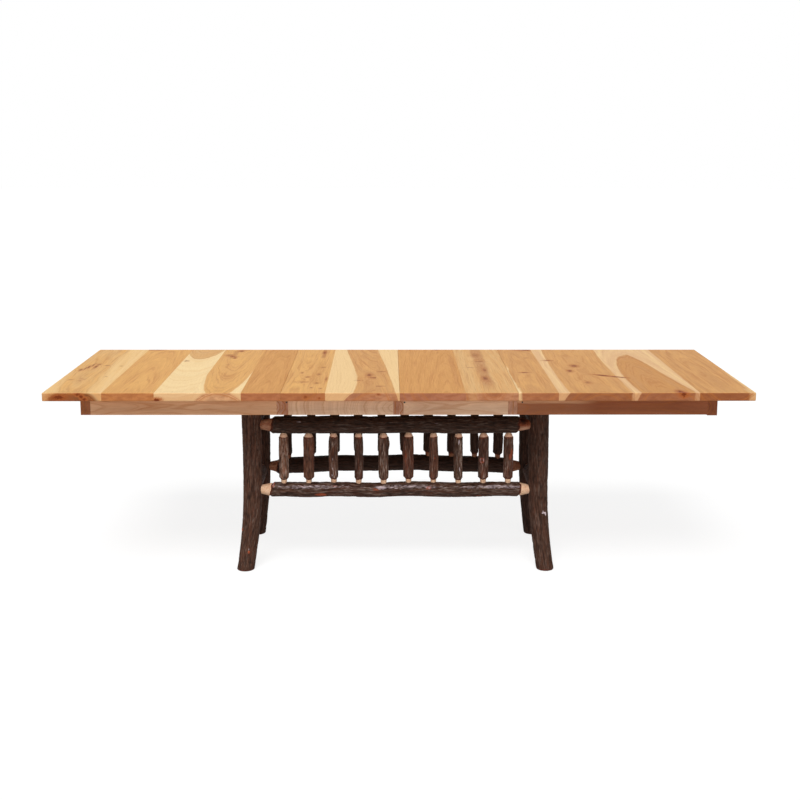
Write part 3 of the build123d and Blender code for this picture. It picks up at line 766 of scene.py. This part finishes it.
rail_marks = {
    "front_upper": [
        Mark(-0.405, 150, 0.016, 0.005, 0.001, 0.0, 0.5), Mark(0.15, 160, 0.02, 0.004, 0.001, 0.0, 0.45),
        Mark(-0.546, 170, 0.022, 0.03, 0.0, 0.2), Mark(0.516, 216, 0.024, 0.014, 0.0, 0.4, 0.0, -0.2),
        Mark(0.506, 126, 0.024, 0.022, 0.0, 0.0, 0.0, 1.1),
    ],
    "front_lower": [
        Mark(-0.525, 120, 0.012, 0.016, 0.0, 0.9, 0.5), Mark(-0.323, 214, 0.024, 0.008, 0.0, 1.0),
        Mark(-0.402, 141, 0.02, 0.005, 0.0, 0.45), Mark(-0.265, 141, 0.014, 0.006, 0.0, 0.5, 0.2),
        # Painted sheen along the top of the rail, in three long pale marks.
        *(Mark(along, 146, 0.26, 0.013, 0.0, 0.0, 0.46) for along in (-0.36, 0.02, 0.4)),
        Mark(-0.098, 162, 0.018, 0.01, 0.003, 0.5, 0.1),
        # The first mark here is a painted pale glint.
        Mark(-0.072, 150, 0.024, 0.007, 0.001, 0.0, 1.0), Mark(-0.085, 200, 0.03, 0.03, 0.003),
        Mark(0.116, 158, 0.006, 0.007, 0.001, 0.8), Mark(0.125, 156, 0.008, 0.008, 0.002, 1.0, 0.55),
        Mark(0.33, 230, 0.02, 0.006, 0.0, 0.5),
    ],
}
# How far each rail's bark leans outward at its left and right end, from its middle to its top.
rail_slants = {
    "front_upper": (0.004, 0.005),
    "front_lower": (0.006, 0.001),
    "rear_upper": (-0.003, 0.003),
    "rear_lower": (0.004, -0.003),
}


def rail_rise(row, x):
    """Where x is between a long rail's shoulders, from -1 to 1, and how far the rail rises there."""
    distance, bow, wave = long_rails[row][1:]
    axis = leg_centre(1, 1, rail_heights[row.split("_")[1]])[0] - base_shift
    share = np.clip((x - base_shift) / (axis - distance), -1, 1)
    return share, (1 - share * share) * (bow + wave * np.sin(3 * pi * share))


def long_rail_piece(row, seed):
    y_sign = -1 if row.startswith("front") else 1
    height = rail_heights[row.split("_")[1]]
    left, right = (leg_centre(x_sign, y_sign, height) for x_sign in (-1, 1))
    radius, distance, _, wave = long_rails[row]
    rows = two_ended(right[0] - left[0], distance, "rail", radius, swell_turns)
    stations = []
    for at, radius_here, peeled, loose in rows:
        x = left[0] + at
        share, rise = rail_rise(row, x)
        sway = (1 - share * share) * wave * np.cos(2 * pi * share)
        stations.append(((x, left[1] + sway, height + rise), radius_here, peeled, loose))
    marks = rail_marks.get(row, [])
    look, slants = rail_bark[row], rail_slants[row]
    pole_piece(f"{row}_pole", f"{row}_rail", "rail", "x", stations, seed, look, marks, slants)


def end_rail_piece(end, level, seed):
    x_sign = -1 if end == "left" else 1
    front, rear = (leg_centre(x_sign, y_sign, rail_heights[level]) for y_sign in (-1, 1))
    own = (end_rail_radii[level], short_swell_turns)
    stations = []
    for at, radius, peeled, loose in two_ended(rear[1] - front[1], end_rail_shoulder, "end_rail", *own):
        stations.append((front + np.array([0.0, at, 0.0]), radius, peeled, loose))
    name = f"{end}_{level}_end_pole"
    pole_piece(name, f"{end}_end_rails", "end_rail", "y", stations, seed, end_rail_bark)


def knot_ring(along, angle, half_length=0.0085, half_turn=22):
    """A ring of pale inner bark round a small knot."""
    ring = []
    for turn in np.linspace(0, 2 * pi, 10)[1:]:
        place = (along + half_length * np.sin(turn), angle + half_turn * np.cos(turn))
        ring.append(Mark(*place, 0.004, 0.004, 0.001, 1.0, 0.5))
    return ring


# The places of these marks are heights above the lower rail.
spindle_marks = {
    1: [Mark(0.045, -85, 0.012, 0.005, 0.001, 0.45)],
    3: [
        Mark(0.06, -100, 0.007, 0.003, 0.001, 0.0, 0.6), Mark(0.1, -95, 0.008, 0.003, 0.001, 0.0, 0.5),
        Mark(0.03, -110, 0.006, 0.004, 0.001, 0.1, 0.7),
    ],
    5: [Mark(0.165, -20, 0.022, 0.014, 0.005, 0.1)],
    6: [Mark(0.12, -120, 0.05, 0.008, 0.0, 0.4)],
    7: [Mark(0.105, -80, 0.006, 0.005, 0.001, 0.6, 0.1)],
    8: [
        Mark(0.175, -85, 0.012, 0.004, 0.001, 0.0, 0.9), Mark(0.06, -70, 0.02, 0.003, 0.0, 0.0, 0.6),
    ],
    9: knot_ring(0.095, -112),
    10: [
        Mark(0.125, -55, 0.024, 0.005, 0.0, 1.0), Mark(0.11, -72, 0.014, 0.006, 0.001, 1.0, 0.3),
    ],
}
# How red the wood and the inner bark are at the top of each front spindle.
# The pink wood there is also painted light in the shade under the upper rail.
spindle_top_red = (0.7, 0.75, 0.9, 0.9, 0.85, 0.85, 0.8, 0.9, 0.9, 0.85)


def spindle_rows(lower, first, last, upper, radius):
    """Heights, radii, peeling and looseness. The bark is full from first to last."""
    rows = [(lower - spindle_depth, spindle_neck, 1.0, 0.0)]
    for share in np.linspace(0, 1, 5):
        at = lower + (spindle_neck_bottom - 0.001) * share
        rows.append((at, spindle_neck + 0.0008 * share, 1.0, 0.3 * share))
    rim = spindle_neck + 0.001
    for share in np.linspace(0, 1, 7):
        at = lower + spindle_neck_bottom + spindle_bevel * share
        rows.append((at, rim + (radius - rim) * share, -0.3 - 0.5 * share, 0.5))
    for at in np.linspace(first, last, pole_rows["spindle"])[1:-1]:
        share = (at - first) / (last - first)
        rows.append((at, swollen(radius, short_swell_turns, share), -1.0, abs(share - 0.5) * 0.8))
    cone = min(spindle_cone, upper - last)
    cone_start = last + 0.0014
    base = radius * spindle_cone_share
    rows.append((last, radius * 0.985, -0.6, 0.4))
    rows.append((last + 0.001, radius * 0.95, -0.25, 0.4))
    rows.append((cone_start, base, 0.4, 0.4))
    for share in np.linspace(0.1, 1, 8):
        fall = 1 - (1 - share) ** 0.6
        radius_here = base + (spindle_neck - base) * fall
        rows.append((cone_start + cone * share, radius_here, 1.0, 0.3 * (1 - share)))
    rows.append((upper + spindle_depth + 0.02, spindle_neck, 1.0, 0.0))
    return rows


def spindle_piece(row, index, seed):
    x = base_shift + spindle_shift[row] + spindle_pitch * (index - (spindle_count - 1) / 2)
    y = -row_gap / 2 if row == "front" else row_gap / 2
    lower = rail_heights["lower"] + rail_rise(f"{row}_lower", x)[1] + long_rails[f"{row}_lower"][0]
    upper = rail_heights["upper"] + rail_rise(f"{row}_upper", x)[1] - long_rails[f"{row}_upper"][0]
    # Each spindle has a thickness and a bend of its own.
    own = index + (0 if row == "front" else spindle_count)
    radius = spindle_radius + spindle_spread * np.sin(1.7 * own)
    bend = spindle_bend * np.sin(2.4 * own)
    first = lower + spindle_neck_bottom + spindle_bevel
    last = upper - spindle_top_gap[row]
    stations = []
    for at, radius_here, peeled, loose in spindle_rows(lower, first, last, upper, radius):
        shift = bend * np.sin(pi * np.clip((at - first) / (last - first), 0, 1))
        stations.append(((x + shift, y + shift / 2, at), radius_here, peeled, loose))
    marks = []
    if row == "front":
        for mark in spindle_marks.get(index + 1, []):
            marks.append(mark._replace(along=lower + mark.along))
        marks.append(Mark(last + 0.006, -90, 0.009, 0.03, 0.0, spindle_top_red[index]))
    look = front_spindle_bark[index] if row == "front" else rear_spindle_bark
    name = f"{row}_spindle_{index + 1:02d}"
    pole_piece(f"{name}_pole", name, "spindle", "z", stations, seed, look, marks)


# ---- Planks of the top ----
# How much of the edge's rounding each kind of plank edge has.
edge_share = {"corner": 1.0, "seam": seam_round / edge_round, "joint": 0.0}


def plank_outline(edges, kinds, y_half, inset):
    """Corners of a plank's outline, inset on its open edges and round where the table's corner is."""
    left = edges[0] + inset * edge_share[kinds[0]]
    right = edges[1] - inset * edge_share[kinds[1]]
    rear = y_half - inset
    points = []
    for x, y, quarter in ((left, -rear, 2), (right, -rear, 3), (right, rear, 0), (left, rear, 1)):
        if kinds[0 if x == left else 1] != "corner":
            points.append((x, y))
            continue
        radius = corner_radius - inset
        centre_x = x + radius if x == left else x - radius
        centre_y = y + radius if y < 0 else y - radius
        for turn in np.linspace(quarter, quarter + 1, 5) * pi / 2:
            points.append((centre_x + radius * np.cos(turn), centre_y + radius * np.sin(turn)))
    return points


def plank_piece(name, node, body, edges, kinds, material):
    y_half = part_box(node)[1][1]
    underside = table_height - top_thickness
    profile = []
    for turn in np.linspace(0, pi / 2, 5):
        profile.append((edge_round * (1 - np.sin(turn)), edge_round * (1 - np.cos(turn))))
    levels = [(inset, underside + rise) for inset, rise in profile]
    levels += [(inset, table_height - rise) for inset, rise in reversed(profile)]
    points = []
    for inset, height in levels:
        for x, y in plank_outline(edges, kinds, y_half, inset):
            points.append((x, y, height))
    finish_piece(tube_mesh(name, points, len(levels)), material, body, node)


def top_planks():
    number = 0
    for node, body, planks in sections:
        low, high = (corner[0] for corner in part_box(node))
        edges = [low]
        for width, look in planks[:-1]:
            edges.append(edges[-1] + width)
        edges.append(high)
        outer = ["corner" if node == name else "seam" for name in ("left_top", "right_top")]
        kinds = [outer[0], *["joint"] * (len(planks) - 1), outer[1]]
        for index, (width, look) in enumerate(planks):
            number += 1
            name = f"plank_{number:02d}"
            material = wood_material(name, "plank", edges[index], table_half, look)
            plank_piece(name, node, body, edges[index:index + 2], kinds[index:index + 2], material)


table_half = 0.5334
# The planks from left to right.
plank_1 = Wood(
    gold, light_tan, rgb(100, 46, 26), (0.116, 0.075, 0.06), (-0.1015, -0.091, -0.0885),
    0.12, dull_sapwood, 0.011,
    knots=(
        Knot(0.034, -0.012, 0.008, 0.03, 0.7), Knot(0.046, 0.02, 0.004, 0.044, 0.8),
        Knot(0.053, 0.058, 0.006, 0.036, 0.9), Knot(0.081, 0.068, 0.006, 0.042, 0.9),
        Knot(0.062, 0.105, 0.004, 0.04, 0.8), Knot(0.083, 0.125, 0.01, 0.016, 0.6),
        Knot(0.123, 0.097, 0.01, 0.012, 0.5), Knot(0.187, 0.083, 0.008, 0.01, 0.4),
        Knot(0.174, -0.173, 0.006, 0.01, 0.35), Knot(0.088, -0.269, 0.008, 0.012, 0.4),
        Knot(0.045, -0.243, 0.012, 0.012, 0.35), Knot(0.066, -0.534, 0.026, 0.012, 1.5, 0.017, 0.011),
        Knot(0.062, -0.534, 0.05, 0.008, 0.7, 0.018, 0.016),
        Knot(0.138, -0.534, 0.014, 0.006, 1.4, 0.005, 0.007),
        Knot(0.152, -0.534, 0.01, 0.006, 1.4, 0.014, 0.009),
        Knot(0.163, -0.534, 0.011, 0.006, 1.4, 0.024, 0.008),
    ),
    streaks=(
        Streak(0.075, 0.034, -0.3, 0.45, mineral, 0.14), Streak(0.13, 0.016, -0.5, 0.1, mineral, 0.08),
    ),
)
plank_2 = Wood(
    gold, orange_tan, rgb(178, 112, 68), (0.11, 0.1, 0.095), (0.06, 0.075, 0.1),
    knots=(Knot(0.03, 0.53, 0.045, 0.022, 0.7),), lines=0.75,
)
plank_3 = Wood(
    light_tan, tan, rgb(174, 113, 72), (0.066, 0.066, 0.066), (0.229, 0.149, 0.069), 0.11,
    knots=(
        Knot(0.016, 0.216, 0.01, 0.018, 0.6), Knot(0.01, -0.534, 0.018, 0.006, 1.5, 0.027, 0.008),
    ),
    lines=0.7,
)
plank_4 = Wood(
    gold, tan, rgb(206, 156, 116), (0.092, 0.087, 0.086), (-0.111, -0.072, -0.045), 0.12,
    knots=(
        Knot(0.077, 0.49, 0.012, 0.022, 0.9), Knot(0.034, 0.374, 0.018, 0.014, 1.0),
        Knot(0.067, 0.294, 0.008, 0.016, 1.1), Knot(0.05, 0.33, 0.022, 0.012, 0.9),
        Knot(0.055, 0.118, 0.006, 0.018, 0.3),
    ),
    streaks=(Streak(0.055, 0.018, 0.28, 0.5, mineral, 0.4),),
)
plank_5 = Wood(
    orange_tan, deep_tan, rgb(166, 102, 71), (0.076, 0.09, 0.1), (0.05, 0.06, 0.075), lines=0.85
)
plank_6 = Wood(
    gold, tan, rgb(160, 95, 63), (0.05, 0.06, 0.07), (0.065, 0.07, 0.06),
    knots=(
        Knot(0.124, 0.44, 0.008, 0.04, 0.8), Knot(0.137, 0.047, 0.01, 0.012, 0.5),
        Knot(0.055, -0.085, 0.006, 0.02, 0.55), Knot(0.082, -0.184, 0.011, 0.014, 0.45),
        Knot(0.07, -0.297, 0.014, 0.014, 0.45), Knot(0.126, -0.121, 0.009, 0.022, 0.5),
        Knot(0.127, -0.322, 0.009, 0.02, 0.6), Knot(0.162, -0.228, 0.005, 0.045, 0.6),
        Knot(0.111, -0.422, 0.006, 0.012, 0.6), Knot(0.148, -0.438, 0.006, 0.012, 0.6),
        Knot(0.095, -0.534, 0.01, 0.006, 0.8, 0.016, 0.008),
        Knot(0.148, -0.534, 0.006, 0.006, 0.9, 0.02, 0.004),
    ),
    streaks=(
        Streak(0.125, 0.012, 0.3, 0.53, mineral, 0.6), Streak(0.125, 0.03, -0.34, 0.2, mineral, 0.25),
    ),
)
plank_7 = Wood(
    tan, brown_tan, rgb(170, 113, 84), (0.201, 0.198, 0.203), (-0.141, -0.141, -0.08),
    0.17, leaf_sapwood,
    knots=(
        Knot(0.164, -0.14, 0.013, 0.04, 0.75), Knot(0.187, -0.202, 0.022, 0.018, 0.8),
        Knot(0.123, -0.263, 0.014, 0.012, 0.4),
    ),
)
plank_8 = Wood(
    tan, brown_tan, rgb(179, 124, 93), (-0.05, -0.05, -0.05), (-0.06, -0.104, -0.13),
    0.14, leaf_sapwood,
    knots=(
        Knot(0.021, -0.057, 0.015, 0.011, 0.6), Knot(0.012, -0.39, 0.018, 0.01, 0.6),
        Knot(0.012, -0.534, 0.008, 0.006, 0.8, 0.006, 0.005),
    ),
)
plank_9 = Wood(
    orange_tan, deep_tan, rgb(160, 102, 80), (0.18, 0.2, 0.22), (0.05, 0.06, 0.075), lines=0.85,
    knots=(Knot(0.178, 0.525, 0.01, 0.015, 0.7),),
    streaks=(Streak(0.232, 0.016, -0.4, 0.35, mineral, 0.25),),
)
plank_10 = Wood(
    light_tan, tan, rgb(176, 120, 90), (0.108, 0.105, 0.095), (0.012, 0.03, 0.06),
    knots=(
        Knot(0.093, 0.37, 0.018, 0.06, 0.35), Knot(0.1, 0.2, 0.024, 0.014, 0.45),
        Knot(0.108, -0.02, 0.009, 0.05, 0.6), Knot(0.098, -0.217, 0.013, 0.05, 0.8),
        Knot(0.053, 0.042, 0.022, 0.007, 0.4), Knot(0.112, -0.534, 0.04, 0.006, 0.3, 0.006, 0.014),
    ),
    streaks=(
        Streak(0.03, 0.022, -0.56, 0.56, light_tan, 0.8), Streak(0.1, 0.034, -0.42, 0.62, mineral, 0.5),
    ),
    lines=0.9,
)
plank_11 = Wood(
    tan, brown_tan, rgb(160, 99, 68), (0.06, 0.065, 0.07), (0.06, 0.065, 0.075),
    knots=(
        Knot(0.066, -0.081, 0.018, 0.011, 0.9), Knot(0.107, 0.292, 0.01, 0.012, 0.4),
        Knot(0.13, 0.52, 0.045, 0.03, 0.7),
    ),
    streaks=(
        Streak(0.0, 0.009, -0.6, 0.05, sapwood, 1.0), Streak(0.0, 0.019, -0.65, -0.43, sapwood, 1.0),
    ),
    lines=0.8,
)
plank_12 = Wood(
    tan, brown_tan, rgb(139, 83, 57), (0.17, 0.158, 0.17), (-0.114, -0.12, -0.12),
    0.17, right_sapwood,
    knots=(
        Knot(0.044, 0.225, 0.02, 0.014, 0.8), Knot(0.141, 0.084, 0.018, 0.034, 0.9),
        Knot(0.107, -0.041, 0.013, 0.028, 0.9), Knot(0.228, -0.15, 0.034, 0.016, 1.2, lean=-0.6),
        Knot(0.276, -0.182, 0.028, 0.013, 1.1, lean=-0.5), Knot(0.141, -0.311, 0.014, 0.026, 0.5),
    ),
    streaks=(Streak(0.289, 0.01, -0.6, -0.2, right_sapwood, 0.9),), lines=0.8,
)
plank_13 = Wood(
    brown_tan, deep_tan, rgb(147, 90, 64), (0.133, 0.104, 0.125), (-0.074, -0.104, -0.142),
    0.13, right_sapwood,
    knots=(
        Knot(0.138, 0.3, 0.008, 0.01, 0.3), Knot(0.004, -0.196, 0.022, 0.013, 1.0, lean=-0.4),
        Knot(0.178, -0.508, 0.016, 0.032, 1.3, 0.004, 0.012),
        Knot(0.188, -0.53, 0.016, 0.02, 1.5, 0.006, 0.012),
    ),
    streaks=(Streak(0.241, 0.013, -0.62, -0.5, right_sapwood, 0.9),),
)
plank_14 = Wood(
    brown_tan, tan, rgb(135, 74, 47), (0.12, 0.11, 0.1), (0.07, 0.065, 0.08),
    streaks=(
        Streak(0.214, 0.014, -0.6, -0.1, warm_sapwood, 0.8),
        Streak(0.209, 0.026, -0.7, -0.45, warm_sapwood, 0.9),
    ),
)
# The sections of the top: CAD node, body, and each plank's width and look.
sections = (
    ("left_top", "left_half", (
        (0.228, plank_1), (0.201, plank_2), (0.152, plank_3), (0.181, plank_4), (0.1524, plank_5),
    )),
    ("leaf_a_top", "leaf_a", (
        (0.1706, plank_6), (0.193, plank_7), (0.0934, plank_8),
    )),
    ("leaf_b_top", "leaf_b", (
        (0.2534, plank_9), (0.2036, plank_10),
    )),
    ("right_top", "right_half", (
        (0.1542, plank_11), (0.293, plank_12), (0.25, plank_13), (0.2172, plank_14),
    )),
)

# Each pole has seeds of its own, ten apart.
leg_seed = 100
rail_seed = 200
end_rail_seeds = {"left": 300, "right": 320}
spindle_seeds = {"front": 400, "rear": 600}
seed_step = 10

hickory_pole = bark_material()
for number, name in enumerate(leg_radii):
    leg_piece(name, leg_seed + seed_step * number)
for number, row in enumerate(long_rails):
    long_rail_piece(row, rail_seed + seed_step * number)
for end, seed in end_rail_seeds.items():
    for number, level in enumerate(rail_heights):
        end_rail_piece(end, level, seed + seed_step * number)
for row, seed in spindle_seeds.items():
    for index in range(spindle_count):
        spindle_piece(row, index, seed + seed_step * index)
top_planks()


# ---- Aprons, boards, slides and fasteners ----
def dress(node, material):
    """Gives a CAD node its material through its own slots."""
    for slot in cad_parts[node].material_slots:
        slot.link = "OBJECT"
        slot.material = material


apron_tan = rgb(226, 177, 139)
apron_brown = rgb(207, 154, 116)
pale_apron = rgb(236, 197, 164)
greyed_apron = rgb(213, 171, 141)
red_brown = rgb(162, 99, 69)
dark_red_brown = rgb(141, 81, 54)
light_board_end = rgb(203, 155, 131)
board_end = rgb(189, 135, 112)
brown_board_end = rgb(146, 88, 62)
dark_board_end = rgb(136, 80, 58)
maple = rgb(214, 180, 130)
pale_maple = rgb(226, 196, 150)

side_pith = ((0.03, 0.034, 0.028), (0.03, 0.045, 0.035))
apron_looks = {
    "left_side_aprons": Wood(apron_tan, apron_brown, board_end, *side_pith, lines=1.2),
    "leaf_a_side_aprons": Wood(
        pale_apron, greyed_apron, board_end, (0.035, 0.03, 0.028), (0.26, 0.13, 0.01), lines=0.9
    ),
    "leaf_b_side_aprons": Wood(pale_apron, greyed_apron, board_end, *side_pith),
    "right_side_aprons": Wood(
        red_brown, dark_red_brown, dark_board_end, (0.026, 0.034, 0.03), (0.03, 0.05, 0.035), lines=0.9,
        streaks=(
            Streak(0.03, 0.05, -0.6, -0.1, apron_brown, 0.2),
            Streak(0.058, 0.017, -0.6, -0.1, apron_tan, 0.8),
        ),
    ),
}
cross_pith = ((0.03, 0.03, 0.03), (0.02, 0.022, 0.025))
cross_look = Wood(apron_tan, apron_brown, light_board_end, *cross_pith, lines=1.4)
end_look = cross_look._replace(end=brown_board_end)
leaf_a_look = cross_look._replace(end=board_end)
dark_cross_look = Wood(red_brown, dark_red_brown, dark_board_end, *cross_pith)
maple_look = Wood(maple, pale_maple, maple, (0.03, 0.03, 0.03), (0.05, 0.055, 0.06), lines=0.4)

for node, look in apron_looks.items():
    low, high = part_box(node)
    dress(node, wood_material(node, "side", (low[0] + high[0]) / 2, (high[0] - low[0]) / 2, look))
for node, look in (
    ("left_end_apron", end_look),
    ("left_inner_board", cross_look),
    ("leaf_a_cross_boards", leaf_a_look),
    ("leaf_b_cross_boards", cross_look),
    ("right_inner_board", dark_cross_look),
    ("right_end_apron", dark_cross_look),
    ("top_cleats", maple_look),
):
    dress(node, wood_material(node, "cross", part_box(node)[0][0], table_half, look))
slides = ("slide_beds", "left_runners", "right_runners", "left_battens", "right_battens")
for node in (*slides, "front_pinion", "rear_pinion"):
    dress(node, wood_material(node, "side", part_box(node)[0][0], table_half, maple_look))

zinc = metal_material("zinc_steel", rgb(190, 190, 186), 0.3)
dark_steel = metal_material("dark_steel", rgb(70, 64, 60), 0.35)
for node in ("base_screws", "pinion_pins", "left_screws", "right_screws"):
    dress(node, zinc)
for node in ("right_apron_pins", "leaf_a_apron_pins", "leaf_b_apron_pins"):
    dress(node, dark_steel)


# ---- Floor, light and camera ----
def make_floor():
    mesh = bpy.data.meshes.new("floor")
    corners = [(x * floor_half, y * floor_half, -floor_gap) for x, y in ((-1, -1), (1, -1), (1, 1), (-1, 1))]
    mesh.from_pydata(corners, [], [(0, 1, 2, 3)])
    floor = add_object("floor", mesh)
    paint = Paint(bpy.data.materials.new("floor_white"))
    paint.surface(floor_bounce, 1.0, 0.0)
    glow = paint.add("Emission", {"Color": white, "Strength": floor_glow})[0]
    matt = paint.add("BsdfDiffuse", {"Color": floor_shadow})[0]
    paint.show_backdrop(paint.add("AddShader", {0: glow, 1: matt})[0], "Material Output")
    mesh.materials.append(paint.owner)


def make_world():
    paint = Paint(bpy.data.worlds.new("studio"), "Background")
    paint.fill({"Color": white, "Strength": world_level})
    backdrop = paint.add("Background", {"Color": white, "Strength": 1.0})[0]
    paint.show_backdrop(backdrop, "World Output")
    bpy.context.scene.world = paint.owner


def sun(name, strength, tilt, heading, spread):
    """Broad soft light. tilt is its angle from straight down, heading where it comes from."""
    data = bpy.data.lights.new(name, "SUN")
    data.energy = strength
    data.angle = radians(spread)
    add_object(name, data).rotation_euler = (radians(tilt), 0.0, radians(heading))


def photo_camera():
    data = bpy.data.cameras.new("photo_camera")
    data.lens = camera_lens
    data.sensor_width = camera_sensor
    data.clip_end = camera_reach
    place = Matrix.Translation(camera_place)
    for degrees, axis in ((camera_heading, "Z"), (90 - camera_pitch, "X"), (camera_roll, "Z")):
        place = place @ Matrix.Rotation(radians(degrees), 4, axis)
    camera = add_object("photo_camera", data)
    camera.matrix_world = place
    bpy.context.scene.camera = camera


world_level = 0.3
floor_half = 40.0
floor_gap = 0.0005
# What the floor throws back onto the table, and the glow and the matt grey that the camera sees.
floor_bounce = (0.55, 0.55, 0.55, 1.0)
floor_glow = 0.84
floor_shadow = (0.2, 0.2, 0.2, 1.0)

# The camera was fitted to the corners of the top in the photo.
camera_place = (-0.0448, -5.5882, 1.7622)
camera_heading = -0.519
camera_pitch = 11.13
camera_roll = 0.071
camera_lens = 60.4
camera_sensor = 36.0
camera_reach = 200.0

make_floor()
make_world()
sun("key_light", strength=2.55, tilt=38, heading=-12, spread=28)
sun("front_light", strength=0.8, tilt=72, heading=18, spread=50)
photo_camera()
bpy.context.scene.view_settings.view_transform = "Standard"
